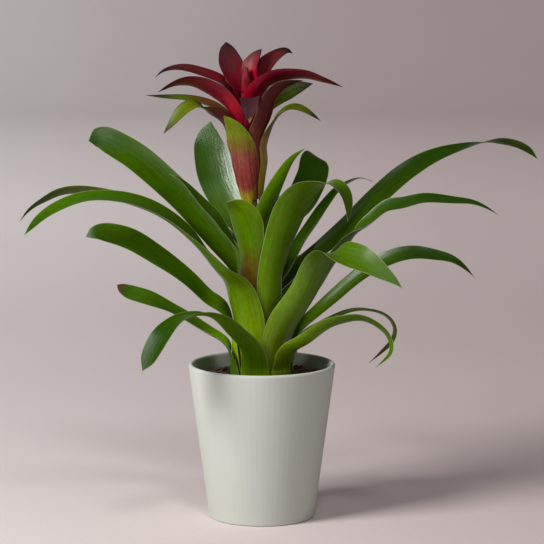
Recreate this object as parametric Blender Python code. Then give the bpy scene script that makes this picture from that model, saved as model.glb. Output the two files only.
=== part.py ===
"""A flowering bromeliad in its pot: pot, soil, stem, strap leaves in nested rings, and a head of bracts.

The origin is at the middle of the pot's underside, on the surface that it stands on. X runs to the right
of the flower head's best side, Y runs away from it, and Z runs up. Sizes are in millimetres until the
meshes are made.
"""

import math
from collections import namedtuple

import bpy
import numpy as np
from mathutils import Vector, noise

MM = 0.001

# Pot
POT_HEIGHT = 137.0
POT_RIM_RADIUS = 65.0
POT_FOOT_RADIUS = 46.9
POT_WALL = 4.0
POT_FLOOR = 6.0
POT_FOOT_ROUND = 1.6
POT_SIDES = 72
FOOT_ARC_STEPS = 3
LIP_ARC_STEPS = 6

# Soil
SOIL_EDGE_DROP = 14.5
SOIL_MIDDLE_DROP = 8.5
SOIL_LUMP = 1.3
SOIL_LUMP_SIZE = 9.0
SOIL_FINER_SIZE = 4.0
SOIL_FINER_SHARE = 0.5
SOIL_SIDES = 48
SOIL_RINGS = 6

# Crown and flower stalk
CROWN_FOOT = 116.3
CROWN_SHOULDER = 122.0
CROWN_RADIUS = 28.6
CROWN_TOP = 150.0
STALK_RADIUS_LOW = 7.0
STALK_RADIUS_HIGH = 4.6
STALK_TOP = 375.0
STALK_TIP_SHARE = 0.7
STALK_TIP_RISE = 1.5
STALK_RINGS = 8
STEM_SIDES = 24
GAP = 0.3

# Tight inner bracts of the head
CONE_FOOT = 377.0
CONE_HEIGHT = 21.0
CONE_RADIUS = 5.0
CONE_TIP_RADIUS = 0.3
CONE_FULLNESS = 0.65
CONE_LOBES = 3
CONE_LOBE = 0.22
CONE_WIND = 4.0
CONE_SIDES = 18
CONE_RINGS = 6

# The plant's own axis leans a little to the left as it rises.
AXIS = ((0, 0, 100), (0, 0, 125), (-3, 0, 200), (-8, 0, 262), (-11.5, 0, 310), (-13, 0, 345),
        (-13.5, 0, 420))

# Leaves sit in rings round the axis, ring 1 outermost. Ring radii are those of the middle of a sheath.
LEAF_RING_OUTER = 27.4
LEAF_RING_STEP = 2.45
LEAF_FLARE = 0.02
LEAF_THICKNESS = ((0.0, 1.7), (0.25, 1.5), (0.6, 1.2), (1.0, 0.8))
LEAF_CHANNEL = ((0.0, 48.0), (0.35, 46.0), (0.6, 34.0), (0.8, 20.0), (1.0, 6.0))
LEAF_STATIONS = 14
LEAF_STRIPS = 4

# Bracts sit in rings round the stalk that open like a funnel towards the head, ring 1 outermost.
BRACT_RING_OUTER = 8.8
BRACT_RING_STEP = 1.8
BRACT_FUNNEL = ((270, -0.8), (279, -0.6), (284, 0.0), (300, 3.2), (325, 7.0), (345, 8.4), (365, 9.4),
                (400, 10.8))
BRACT_THICKNESS = ((0.0, 1.1), (0.5, 1.0), (1.0, 0.75))
BRACT_CHANNEL = ((0.0, 40.0), (0.5, 32.0), (0.8, 20.0), (1.0, 5.0))
BRACT_STATIONS = 10
BRACT_STRIPS = 4
BRACT_LOWEST = 279.5

MARGIN_SHARE = 0.62
THINNEST = 0.66
TIP_HALF_WIDTH = 0.8
# The share of the length over which a sheath opens into the blade's own channel
OPENING_SHARE = 0.22
# Width knots this close to the foot, as a share of the sheath, give way to the sheath's own width.
SHEATH_KNOTS = 0.6
SHEATH_POINTS = 4
FOOT_STEP = 0.5
SAMPLES = 160
FINE_STEPS = 6
BEND_WEIGHT = 28.0
SMOOTH_BELOW = 50

# One blade: where its sheath sits, where it leaves the ring, how wide it is, and where its middle runs.
# leave is the height where the sheath ends. sheath and widths are half widths in millimetres: sheath at
# the foot, widths as (share of the length, half width). twist is (share of the length, degrees).
Blade = namedtuple("Blade", "name ring azimuth leave sheath widths twist route")

LONG = ((0.30, 0.92), (0.45, 1.0), (0.62, 0.95), (0.80, 0.66), (0.92, 0.31), (1.0, 0.0))
BLUNT = ((0.30, 0.92), (0.50, 1.0), (0.75, 0.97), (0.90, 0.80), (0.97, 0.45), (1.0, 0.0))
SPEAR = ((0.35, 0.95), (0.55, 1.0), (0.72, 0.86), (0.86, 0.52), (0.95, 0.20), (1.0, 0.0))


def outline(shape, half_width):
    return tuple((share, half_width * part) for share, part in shape)


LEAVES = (
    # Lowest leaves, which clear the rim and arch outwards
    Blade("leaf_front_left_low", 1, -104, 136, 13.8,
          ((0.30, 9.9), (0.50, 10.6), (0.72, 10.8), (0.84, 11.0), (0.93, 8.6), (1.0, 0.0)),
          ((0, 0), (0.30, 5), (0.50, 31), (0.60, 31), (0.70, 39), (0.80, 54), (1, 60)),
          ((-9, -31, 152), (-19, -38, 165), (-29, -46, 176), (-42, -56, 186.5), (-54, -66, 190),
           (-67, -75, 188.5), (-80, -82, 180), (-90, -87, 167), (-97, -90, 154), (-101, -92, 146))),
    Blade("leaf_front_right_low", 1, -46, 136, 13.0,
          outline(LONG, 9.0),
          ((0, 0), (0.08, 0), (0.20, 26), (0.30, 32), (0.45, 22), (0.60, 16), (1, 22)),
          ((23, -28, 151), (33, -34, 159), (46, -40, 169), (59, -45, 177.5), (72, -49, 182),
           (83, -52, 184), (93, -54, 182), (103, -55, 176), (109, -56, 169), (111, -57, 158),
           (106, -57, 150), (98, -57, 143))),
    Blade("leaf_right_low", 1, 14, 136, 12.0,
          outline(LONG, 7.2),
          ((0, 0), (1, 0)),
          ((36, 12, 157), (50, 16, 167), (65, 20, 174), (78, 24, 178.5), (90, 28, 179.5),
           (103, 31, 177), (113, 33, 171), (118, 34, 161), (115, 35, 150), (107, 35, 141),
           (96, 34, 131))),
    Blade("leaf_left_low", 1, -163, 138, 13.6,
          outline(BLUNT, 9.0),
          ((0, 0), (0.10, 4), (0.25, 30), (0.40, 38), (0.60, 40), (0.80, 66), (1, 85)),
          ((-31, -10, 154), (-45, -6, 164), (-59, -2, 172), (-73, 2, 180), (-88, 6, 187.5),
           (-103, 9, 194), (-117, 12, 198.5), (-128, 14, 204.5))),
    Blade("leaf_back_low", 1, 84, 136, 14.0, outline(LONG, 11.5), ((0, 0), (1, 0)),
          ((3, 36, 155), (4, 56, 172), (4, 80, 184), (3, 104, 186), (1, 126, 178), (-1, 142, 163),
           (-2, 152, 146))),
    # Second ring
    Blade("leaf_front_right", 2, -54, 150, 17.4,
          ((0.20, 17.6), (0.32, 15.2), (0.50, 14.2), (0.66, 14.0), (0.76, 12.9), (0.86, 8.6),
           (0.94, 4.2), (1.0, 0.0)),
          ((0, 0), (0.16, 0), (0.30, 14), (0.46, 14), (0.60, -6), (0.70, -48), (0.80, -60), (1, -55)),
          ((19, -22, 168), (24, -24, 180), (33, -27, 195), (41, -32, 210), (46, -37, 223),
           (51, -42, 233), (57, -49, 240.5), (66, -57, 242.5), (77, -66, 241), (88, -75, 238),
           (101, -83, 230.5), (112, -89, 223.5), (119, -94, 217.5))),
    Blade("leaf_left_middle", 2, -172, 164, 16.0, outline(BLUNT, 11.9),
          ((0, 0), (0.15, 5), (0.30, 20), (0.50, 24), (0.70, 36), (0.90, 45), (1, 45)),
          ((-35, -12, 186), (-47, -16, 195), (-62, -20, 210), (-80, -23, 226), (-97, -26, 239),
           (-114, -28, 250), (-131, -29, 256), (-143, -30, 257), (-152, -30, 253))),
    Blade("leaf_right_middle", 2, 14, 148, 12.0,
          outline(LONG, 10.5),
          ((0, 0), (0.15, 0), (0.35, -12), (0.80, -14), (1, -14)),
          ((36, 3, 168), (46, 0, 178), (57, -4, 188.5), (71, -8, 201.5), (86, -12, 215),
           (104, -16, 227.5), (119, -19, 234.5), (135, -22, 237.5), (151, -24, 236), (165, -26, 233),
           (176, -27, 226), (185, -27, 217))),
    Blade("leaf_back_right_low", 2, 79, 150, 14.6, outline(LONG, 11.5), ((0, 0), (1, 0)),
          ((10, 36, 170), (16, 57, 192), (22, 82, 209), (26, 110, 216), (28, 136, 211),
           (28, 158, 196), (27, 172, 176))),
    # Third ring
    Blade("leaf_long_left", 3, -122, 176, 18.0,
          ((0.16, 17.6), (0.30, 16.8), (0.45, 17.0), (0.62, 14.8), (0.80, 10.6), (0.90, 7.4),
           (0.96, 4.2), (1.0, 0.0)),
          ((0, 0), (0.20, 0), (0.34, 36), (0.50, 56), (0.62, 58), (0.75, 58), (0.88, 68), (1, 85)),
          ((-23.5, -24, 206), (-37, -32, 221.5), (-50.5, -39, 239), (-64, -45, 255), (-80.5, -50, 270),
           (-97, -54, 280.3), (-114, -57, 287), (-131, -60, 290.3), (-148, -62, 290.5),
           (-165, -64, 286.5), (-180, -65, 279.5), (-192, -66, 270.5), (-202, -66, 259))),
    Blade("leaf_back_left_low", 3, 106, 165, 16.5, outline(LONG, 12.0), ((0, 0), (1, 0)),
          ((-10, 34, 188), (-16, 54, 212), (-22, 80, 232), (-26, 108, 240), (-28, 134, 236),
           (-28, 156, 222), (-27, 171, 203))),
    # Fourth ring
    Blade("leaf_centre_right", 4, -55, 182, 15.5,
          ((0.30, 14.6), (0.50, 15.8), (0.66, 16.4), (0.76, 14.6), (0.87, 11.0), (0.94, 6.5),
           (1.0, 0.0)),
          ((0, 0), (0.33, 0), (0.46, 6), (0.58, 16), (0.70, 6), (0.80, -20), (0.87, -34), (1, -45)),
          ((10, -20, 214), (13.5, -22.5, 233), (18, -25, 251), (24, -28.5, 270), (32, -34, 285),
           (43, -40, 296), (53, -46, 301), (62, -50, 301), (70, -52, 295), (74, -53, 284),
           (74, -53, 269))),
    Blade("leaf_long_left_behind", 4, 171, 186, 15.0,
          outline(LONG, 11.5),
          ((0, 0), (0.30, -4), (0.60, -12), (1, -14)),
          ((-25, 11, 203), (-38, 17, 217), (-56, 26, 236), (-76, 36, 253), (-96, 45, 265),
           (-118, 53, 273), (-141, 60, 279), (-163, 65, 282), (-182, 68, 280), (-195, 70, 274),
           (-209, 71, 265), (-219, 72, 253))),
    Blade("leaf_back_middle", 4, 85, 182, 12.6, outline(LONG, 12.5), ((0, 0), (1, 0)),
          ((0, 30, 206), (3, 48, 232), (7, 72, 255), (9, 100, 268), (10, 128, 269), (10, 153, 259),
           (10, 172, 242))),
    # Fifth ring
    Blade("leaf_centre_front", 5, -115, 205, 14.0,
          ((0.45, 12.8), (0.70, 13.6), (0.82, 15.6), (0.90, 13.6), (0.96, 8.0), (1.0, 0.0)),
          ((0, 0), (1, 0)),
          ((-9, -19, 227), (-10.5, -21, 245), (-13, -24, 261), (-16, -28, 272.5), (-22, -31, 280),
           (-30, -34, 284))),
    Blade("leaf_right_upper", 5, 25, 162, 9.2,
          ((0.16, 9.6), (0.34, 12.0), (0.48, 11.0), (0.62, 9.8), (0.80, 6.9), (0.92, 3.3), (1.0, 0.0)),
          ((0, 0), (0.14, 4), (0.26, 34), (0.38, 48), (0.46, 42), (0.54, 4), (0.62, -4), (1, 0)),
          ((29, 12, 182), (47, 13, 197), (60, 14, 219), (72, 14, 236), (82, 13, 249), (92, 12, 258),
           (101, 11, 266), (111, 9, 274), (124, 6, 277), (140, 4, 281.5), (156, 2, 282), (170, 0, 281),
           (183, -2, 280), (195, -4, 276), (207, -6, 269))),
    Blade("leaf_left_upper", 5, 127, 192, 13.6,
          ((0.30, 12.4), (0.50, 14.2), (0.75, 14.0), (0.90, 12.4), (0.97, 9.6), (1.0, 0.0)),
          ((0, 0), (0.25, 0), (0.40, 14), (0.60, 19), (0.80, 27), (0.92, 38), (1, 40)),
          ((-17, 15, 211), (-27, 23, 226), (-39, 33, 240), (-54, 46, 257), (-70, 58, 273.5),
           (-86, 68, 288), (-102, 78, 301.5), (-118, 88, 313), (-134, 96, 322), (-147, 102, 327),
           (-158, 106, 323))),
    # Sixth ring
    Blade("leaf_long_right", 6, 42, 194, 12.0,
          ((0.30, 11.0), (0.50, 12.4), (0.65, 11.8), (0.80, 8.4), (0.90, 6.0), (0.96, 4.4), (1.0, 0.0)),
          ((0, 0), (0.18, 0), (0.38, -15), (0.60, -18), (0.70, -11), (0.80, 6), (0.855, 29),
           (0.90, 54), (1, 68)),
          ((20, 19, 205), (35, 28, 218), (52, 37, 230), (67, 43, 242), (81, 47, 254), (95, 52, 267.5),
           (113, 57, 284.5), (129, 62, 297.5), (147, 67, 308.5), (165, 71, 316), (183, 75, 321),
           (200, 78, 324.5), (216, 80, 325), (231, 81, 322), (242, 82, 316), (249, 82, 309))),
    Blade("leaf_left_inner", 6, 187, 200, 11.0,
          ((0.40, 9.6), (0.60, 10.4), (0.74, 9.4), (0.86, 5.6), (0.94, 2.4), (1.0, 0.0)),
          ((0, 0), (0.46, 0), (0.62, 24), (0.74, 34), (1, 34)),
          ((-22, 0, 226), (-27, 2, 241), (-35, 5, 255), (-42, 8, 266), (-51, 10, 276), (-61, 11, 288),
           (-71, 12, 298), (-81, 13, 303))),
    # Seventh ring
    Blade("leaf_back_tall", 7, 112, 226, 11.0,
          ((0.25, 11.0), (0.45, 13.0), (0.60, 15.4), (0.78, 16.6), (0.88, 14.6), (0.95, 9.0),
           (1.0, 0.0)),
          ((0, 0), (0.42, 0), (0.64, 16), (1, 18)),
          ((-14, 21, 247), (-23, 31, 263), (-32, 41, 277), (-40, 51, 293), (-44, 60, 308),
           (-47, 67, 321), (-48, 73, 332), (-46, 78, 344))),
    Blade("leaf_right_inner", 7, 6, 198, 10.5,
          ((0.30, 6.8), (0.43, 8.6), (0.56, 10.4), (0.70, 9.8), (0.84, 6.6), (0.93, 3.6), (1.0, 0.0)),
          ((0, 0), (0.30, 0), (0.50, -18), (0.75, -20), (1, -10)),
          ((23, 4, 217), (30, 12, 231), (37, 21, 244), (45, 28, 255), (53, 34, 267), (61, 40, 278),
           (69, 45, 287), (78, 50, 292), (88, 53, 295), (99, 54, 292))),
    # Eighth ring
    Blade("leaf_right_of_stalk", 8, -34, 236, 8.0,
          outline(SPEAR, 9.4),
          ((0, 0), (0.40, 4), (0.60, 28), (1, 42)),
          ((-0.5, -7.5, 260), (4.5, -9.5, 277), (11, -10, 292), (18, -10, 306), (26.5, -9, 319),
           (38, -7, 328))),
    Blade("leaf_back_right_tall", 8, 80, 238, 9.0,
          ((0.25, 9.0), (0.45, 10.0), (0.62, 12.0), (0.74, 14.2), (0.88, 14.4), (0.95, 10.0),
           (1.0, 0.0)),
          ((0, 0), (1, 0)),
          ((5, 15, 236), (13, 24, 251), (23, 35, 264), (34, 46, 276), (41, 56, 288), (45, 65, 297),
           (47, 73, 307), (49, 82, 311), (51, 93, 309))),
)

BROAD = ((0.15, 0.72), (0.38, 1.0), (0.58, 0.92), (0.80, 0.60), (0.93, 0.26), (1.0, 0.0))
PETAL = ((0.15, 0.60), (0.40, 0.80), (0.62, 1.0), (0.78, 0.95), (0.90, 0.60), (0.97, 0.25), (1.0, 0.0))

BRACTS = (
    # Sheathing bracts of the stalk
    Blade("bract_stalk_front", 1, -114, 328, 5.0, outline(BROAD, 16.0), ((0, 0), (1, 0)),
          ((-22, -15, 340), (-27, -17, 350), (-33, -18, 357))),
    Blade("bract_right_low", 0.1, -18, 318, 5.0,
          ((0.20, 7.8), (0.34, 8.0), (0.50, 8.2), (0.62, 8.2), (0.75, 8.2), (0.88, 5.0), (0.96, 2.0),
           (1.0, 0.0)),
          ((0, 0), (0.30, 4), (0.45, 6), (0.62, -16), (0.80, -27), (1, -34)),
          ((3, -5, 326), (4, -5.2, 333), (6.5, -5.4, 340), (10.5, -5.6, 349), (17, -6, 358),
           (28, -8, 363), (41, -10, 359), (51, -11, 352))),
    Blade("bract_back_low", 2, 85, 328, 5.0, outline(BROAD, 11.0), ((0, 0), (1, 0)),
          ((-12, 19, 346), (-12, 30, 358), (-13, 43, 362), (-14, 55, 357), (-15, 64, 347))),
    # Lower bracts of the head
    Blade("bract_left_low", 2, 196, 334, 6.0,
          ((0.15, 8.0), (0.38, 11.6), (0.60, 11.0), (0.74, 8.8), (0.86, 6.0), (0.94, 3.0), (1.0, 0.0)),
          ((0, 0), (0.30, -8), (0.45, -20), (0.60, -18), (0.68, 6), (0.76, 36), (0.85, 46), (1, 48)),
          ((-32, -5, 350), (-46, -8, 360), (-58, -10, 365), (-68, -11, 361), (-77, -12, 351),
           (-85, -12, 341))),
    Blade("bract_left_green", 3, 164, 342, 6.0, outline(BROAD, 10.0),
          ((0, 0), (0.40, 0), (0.60, 14), (1, 24)),
          ((-36, 9, 358), (-49, 13, 365), (-63, 15, 368.5), (-77, 16, 370), (-89, 16, 371),
           (-101, 16, 372))),
    Blade("bract_right_green", 3, 37, 346, 6.0,
          ((0.15, 6.0), (0.38, 7.0), (0.60, 9.8), (0.78, 9.0), (0.90, 5.4), (1.0, 0.0)),
          ((0, 0), (0.45, 0), (0.65, -24), (1, -42)),
          ((1, 10, 358), (9, 13, 367), (20, 15, 374), (32, 17, 379), (45, 20, 382))),
    Blade("bract_front_brown", 2, -54, 338, 6.0,
          ((0.15, 7.0), (0.38, 8.6), (0.62, 9.0), (0.80, 7.6), (0.93, 3.2), (1.0, 0.0)),
          ((0, 0), (1, 0)),
          ((2, -14.5, 354), (7, -17, 370), (14, -19, 380), (23, -20, 385), (36, -21, 388))),
    # Red bracts of the head
    Blade("bract_left_front_red", 4, -143, 350, 6.0,
          ((0.15, 8.0), (0.30, 9.6), (0.45, 12.6), (0.62, 12.2), (0.80, 8.4), (0.93, 3.6), (1.0, 0.0)),
          ((0, 0), (0.40, 0), (0.60, -14), (1, -14)),
          ((-27, -12, 361), (-35, -15, 372), (-46, -17, 380), (-57, -19, 385), (-68, -21, 386),
           (-79, -23, 383), (-89, -24, 378))),
    Blade("bract_back_red", 4, 113, 350, 6.0, outline(BROAD, 9.2), ((0, 0), (1, 0)),
          ((-15, 20, 372), (-13, 34, 384), (-10, 50, 390), (-9, 66, 388), (-8, 78, 381))),
    Blade("bract_right_red", 5, -62, 352, 6.4,
          ((0.15, 7.4), (0.30, 8.6), (0.45, 10.6), (0.62, 10.2), (0.80, 7.4), (0.93, 3.2), (1.0, 0.0)),
          ((0, 0), (0.38, 0), (0.55, -16), (0.70, -25), (0.85, -24), (1, -24)),
          ((-8, -13.5, 369), (-3, -14, 378), (4, -14, 385), (13, -13, 389), (25, -13, 391),
           (40, -15, 391), (52, -18, 388), (62, -20, 385), (70, -21, 382))),
    Blade("bract_left_top_red", 5, 170, 360, 5.5, outline(BROAD, 10.6),
          ((0, 0), (0.40, 0), (0.62, 18), (1, 28)),
          ((-31, 3, 380), (-42, 5, 388), (-54, 7, 392.5), (-66, 9, 396), (-78, 11, 396),
           (-87, 12, 393), (-93, 13, 388))),
    Blade("bract_right_top_red", 5, 48, 366, 5.5,
          ((0.15, 5.2), (0.40, 7.2), (0.60, 9.3), (0.74, 7.8), (0.86, 5.2), (0.94, 3.0), (1.0, 0.0)),
          ((0, 0), (0.42, 0), (0.65, -30), (1, -40)),
          ((-3, 11, 388), (4, 14, 400), (13, 16, 407.5), (22, 17, 411), (27, 18, 408.5))),
    Blade("bract_front_top_red", 3, -90, 352, 3.6,
          ((0.15, 3.6), (0.44, 3.8), (0.60, 6.0), (0.72, 9.4), (0.86, 7.6), (0.94, 4.0), (1.0, 0.0)),
          ((0, 0), (1, 0)),
          ((-11.2, -19.2, 361), (-9, -23.4, 371), (-10, -28.5, 373), (-10, -35, 371), (-10, -41, 364),
           (-10, -45, 353))),
    Blade("bract_upright_left_red", 6, 156, 366, 5.0,
          ((0.15, 6.0), (0.40, 6.7), (0.62, 11.8), (0.80, 12.2), (0.90, 9.4), (0.96, 5.4), (1.0, 0.0)),
          ((0, 0), (0.48, 0), (0.70, 32), (1, 40)),
          ((-24, 8, 388), (-28, 10, 401), (-30, 11, 411), (-31, 12, 419))),
    Blade("bract_upright_right_red", 6, 22, 366, 5.0,
          outline(PETAL, 9.0),
          ((0, 0), (0.45, 0), (0.65, -30), (1, -50)),
          ((-10, 4, 390), (-9, 6, 401), (0, 9, 413))),
)


def cubic(knots, at):
    """A smooth curve through the knots, (place, value or point), with no overshoot past a knot."""
    places = np.array([place for place, _ in knots], float)
    values = np.array([value for _, value in knots], float)
    flat = values.ndim == 1
    values = values.reshape(len(places), -1)
    slopes = np.diff(values, axis=0) / np.diff(places)[:, None]
    tangents = np.empty_like(values)
    tangents[0], tangents[-1] = slopes[0], slopes[-1]
    before, after = slopes[:-1], slopes[1:]
    agree = before * after > 0
    total = np.where(agree, before + after, 1.0)
    tangents[1:-1] = np.where(agree, 2 * before * after / total, 0.0)
    at = np.clip(np.atleast_1d(np.asarray(at, float)), places[0], places[-1])
    left = np.clip(np.searchsorted(places, at, side="right") - 1, 0, len(places) - 2)
    span = (places[left + 1] - places[left])[:, None]
    t = (at - places[left])[:, None] / span
    bends = (t ** 3 - 2 * t ** 2 + t) * tangents[left] + (t ** 3 - t ** 2) * tangents[left + 1]
    gone = 3 * t ** 2 - 2 * t ** 3
    result = (1 - gone) * values[left] + gone * values[left + 1] + span * bends
    return result[:, 0] if flat else result


def natural_curve(points, count):
    """Points at even steps of length along the natural cubic spline through the given points."""
    points = np.array(points, float)
    chord = np.sqrt(np.linalg.norm(np.diff(points, axis=0), axis=1))
    place = np.concatenate([[0.0], np.cumsum(chord)])
    steps = np.diff(place)
    size = len(points)
    matrix = np.eye(size)
    right = np.zeros((size, 3))
    for i in range(1, size - 1):
        matrix[i, i - 1:i + 2] = steps[i - 1], 2 * (steps[i - 1] + steps[i]), steps[i]
        right[i] = 6 * ((points[i + 1] - points[i]) / steps[i] - (points[i] - points[i - 1]) / steps[i - 1])
    bend = np.linalg.solve(matrix, right)

    def value(at):
        i = np.clip(np.searchsorted(place, at, side="right") - 1, 0, size - 2)
        h = steps[i][:, None]
        a = (place[i + 1] - at)[:, None] / h
        b = 1 - a
        bent = (a ** 3 - a) * bend[i] + (b ** 3 - b) * bend[i + 1]
        return a * points[i] + b * points[i + 1] + bent * h ** 2 / 6

    fine = value(np.linspace(0, place[-1], FINE_STEPS * count))
    length = np.concatenate([[0.0], np.cumsum(np.linalg.norm(np.diff(fine, axis=0), axis=1))])
    even = np.linspace(0, length[-1], count)
    return np.stack([np.interp(even, length, fine[:, axis]) for axis in range(3)], axis=1), length[-1]


def axis_at(height):
    """The plant's axis, as (x, y), at a height."""
    return cubic([(z, (x, y)) for x, y, z in AXIS], height)[0]


def leaf_ring(ring, height):
    return LEAF_RING_OUTER - LEAF_RING_STEP * (ring - 1) + LEAF_FLARE * (height - CROWN_SHOULDER)


def bract_ring(ring, height):
    return BRACT_RING_OUTER - BRACT_RING_STEP * (ring - 1) + cubic(BRACT_FUNNEL, height)[0]


def stalk_radius(height):
    return float(np.interp(height, (CROWN_TOP, STALK_TOP), (STALK_RADIUS_LOW, STALK_RADIUS_HIGH)))


def leaf_foot(ring):
    """The height where a leaf's sheath starts: just above the crown's slope."""
    inner = leaf_ring(ring, CROWN_SHOULDER) - LEAF_THICKNESS[0][1] / 2
    slope = (CROWN_TOP - CROWN_SHOULDER) / (CROWN_RADIUS - STALK_RADIUS_LOW)
    return CROWN_SHOULDER + (CROWN_RADIUS - inner) * slope + 2 * GAP


def bract_foot(ring):
    """The height where a bract's sheath starts: where its ring clears the stalk."""
    clear = BRACT_THICKNESS[0][1] / 2 + 2 * GAP
    height = BRACT_LOWEST
    while bract_ring(ring, height) < stalk_radius(height) + clear:
        height += FOOT_STEP
    return height


def ring_point(radius, azimuth, height):
    x, y = axis_at(height)
    angle = math.radians(azimuth)
    return x + radius * math.cos(angle), y + radius * math.sin(angle), height


def smoothstep(value):
    value = np.clip(value, 0, 1)
    return value * value * (3 - 2 * value)


def transported(path, across):
    """Tangents and across directions along a path, the across direction turning no more than it must."""
    tangents = np.gradient(path, axis=0)
    tangents /= np.linalg.norm(tangents, axis=1)[:, None]
    acrosses = np.empty_like(path)
    for i, tangent in enumerate(tangents):
        across = across - across.dot(tangent) * tangent
        across = across / np.linalg.norm(across)
        acrosses[i] = across
    return tangents, acrosses


def spread(path, count):
    """Indices of the stations: even along the path, and closer where it bends."""
    tangents = np.diff(path, axis=0)
    tangents /= np.linalg.norm(tangents, axis=1)[:, None]
    turn = np.arccos(np.clip((tangents[1:] * tangents[:-1]).sum(axis=1), -1, 1))
    step = np.linalg.norm(path[1] - path[0])
    cost = np.concatenate([[0.0], np.cumsum(step + BEND_WEIGHT * np.concatenate([[0.0], turn]))])
    places = np.interp(np.linspace(0, cost[-1], count), cost, np.arange(len(path)))
    return np.round(places).astype(int)


def blade_grids(blade, ring_radius, foot, thickness, channel, stations, strips):
    """The upper and the under side of one blade, each as a grid of points, (stations, strips + 1, 3)."""
    angle = math.radians(blade.azimuth)
    heights = np.linspace(foot, blade.leave, SHEATH_POINTS)
    sheath = [ring_point(ring_radius(blade.ring, height), blade.azimuth, height) for height in heights]
    path, length = natural_curve(sheath + list(blade.route), SAMPLES)
    tangents, acrosses = transported(path, np.array([math.sin(angle), -math.cos(angle), 0.0]))
    leave_share = np.argmin(np.abs(path[:, 2] - blade.leave)[: SAMPLES // 2]) / (SAMPLES - 1)
    upper, under = [], []
    for i in spread(path, stations):
        share = i / (SAMPLES - 1)
        knots = [(0.0, blade.sheath)]
        knots += [knot for knot in blade.widths if knot[0] > leave_share * SHEATH_KNOTS]
        half_width = max(float(cubic(knots, share)[0]), TIP_HALF_WIDTH)
        wrapped = half_width / ring_radius(blade.ring, min(path[i, 2], blade.leave))
        opened = math.radians(float(cubic(channel, share)[0]))
        freed = float(smoothstep((share - leave_share) / OPENING_SHARE))
        curl = wrapped * (1 - freed) + opened * freed
        turn = math.radians(float(cubic(blade.twist, share)[0]))
        inward = np.cross(acrosses[i], tangents[i])
        across = acrosses[i] * math.cos(turn) + inward * math.sin(turn)
        inward = np.cross(across, tangents[i])
        radius = half_width / curl
        thick = float(cubic(thickness, share)[0])
        row_upper, row_under = [], []
        for side in np.linspace(-1, 1, strips + 1):
            bow = curl * side
            middle = path[i] + radius * (across * math.sin(bow) + inward * (1 - math.cos(bow)))
            normal = inward * math.cos(bow) - across * math.sin(bow)
            half = max(thick * (1 - (1 - MARGIN_SHARE) * side * side), THINNEST) / 2
            row_upper.append(middle + normal * half)
            row_under.append(middle - normal * half)
        upper.append(row_upper)
        under.append(row_under)
    return np.array(upper), np.array(under)


def closed_blade(upper, under):
    """Points and triangles of the closed solid between two grids, split alike on both sides."""
    rows, columns = upper.shape[:2]
    count = rows * columns
    points = np.concatenate([upper.reshape(-1, 3), under.reshape(-1, 3)])
    faces = []

    def panel(a, b, c, d, flip):
        triangles = ((a, b, c), (a, c, d))
        faces.extend(tuple(reversed(t)) if flip else t for t in triangles)

    for i in range(rows - 1):
        for j in range(columns - 1):
            a, b = i * columns + j, (i + 1) * columns + j
            panel(a, a + 1, b + 1, b, False)
            panel(a + count, a + 1 + count, b + 1 + count, b + count, True)
        left, right = i * columns, i * columns + columns - 1
        panel(left, left + columns, left + columns + count, left + count, False)
        panel(right, right + columns, right + columns + count, right + count, True)
    last = (rows - 1) * columns
    for j in range(columns - 1):
        panel(j, j + 1, j + 1 + count, j + count, True)
        panel(last + j, last + j + 1, last + j + 1 + count, last + j + count, False)
    return points, faces


def made_object(name, points, faces, material, smooth_below=None):
    mesh = bpy.data.meshes.new(name)
    mesh.from_pydata([Vector(point) * MM for point in points], [], faces)
    mesh.materials.append(material)
    mesh.shade_smooth()
    if smooth_below is not None:
        mesh.set_sharp_from_angle(angle=math.radians(smooth_below))
    made = bpy.data.objects.new(name, mesh)
    bpy.context.collection.objects.link(made)
    return made


def turned(profile, sides, offset=None):
    """Points and faces of a closed turned solid. The profile's (radius, height) start and end on the axis."""
    inner = profile[1:-1]
    points = [(0, 0, profile[0][1]), (0, 0, profile[-1][1])]
    for radius, height in inner:
        middle = offset(height) if offset else (0, 0)
        for k in range(sides):
            angle = 2 * math.pi * k / sides
            x = middle[0] + radius * math.cos(angle)
            y = middle[1] + radius * math.sin(angle)
            points.append((x, y, height))
    if offset:
        points[0] = (*offset(profile[0][1]), profile[0][1])
        points[1] = (*offset(profile[-1][1]), profile[-1][1])
    faces = []
    for k in range(sides):
        after = (k + 1) % sides
        faces.append((0, 2 + after, 2 + k))
        top = 2 + (len(inner) - 1) * sides
        faces.append((1, top + k, top + after))
        for ring in range(len(inner) - 1):
            low, high = 2 + ring * sides, 2 + (ring + 1) * sides
            faces.append((low + k, low + after, high + after, high + k))
    return points, faces


def pot_outer(height):
    return POT_FOOT_RADIUS + (POT_RIM_RADIUS - POT_FOOT_RADIUS) * height / POT_HEIGHT


def arc(middle, radius, start, end, steps):
    """Points of an arc in the profile plane, angles in degrees from the outward direction."""
    angles = np.radians(np.linspace(start, end, steps + 1))
    return [(middle[0] + radius * math.cos(a), middle[1] + radius * math.sin(a)) for a in angles]


def make_pot(material):
    lip = POT_WALL / 2
    lip_height = POT_HEIGHT - lip
    foot = POT_FOOT_ROUND
    floor_radius = pot_outer(POT_FLOOR) - POT_WALL
    profile = [(0, 0)]
    profile += arc((POT_FOOT_RADIUS - foot, foot), foot, -90, 0, FOOT_ARC_STEPS)
    profile += arc((pot_outer(lip_height) - lip, lip_height), lip, 0, 180, LIP_ARC_STEPS)
    profile += arc((floor_radius - 2 * foot, POT_FLOOR + 2 * foot), 2 * foot, 0, -90, FOOT_ARC_STEPS)
    profile += [(0, POT_FLOOR)]
    points, faces = turned(profile, POT_SIDES)
    made_object("pot", points, faces, material, SMOOTH_BELOW)


def lump(x, y):
    place = Vector((x, y, 3.0))
    finer = noise.noise(place / SOIL_FINER_SIZE) * SOIL_FINER_SHARE
    return SOIL_LUMP * (noise.noise(place / SOIL_LUMP_SIZE) + finer)


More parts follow.
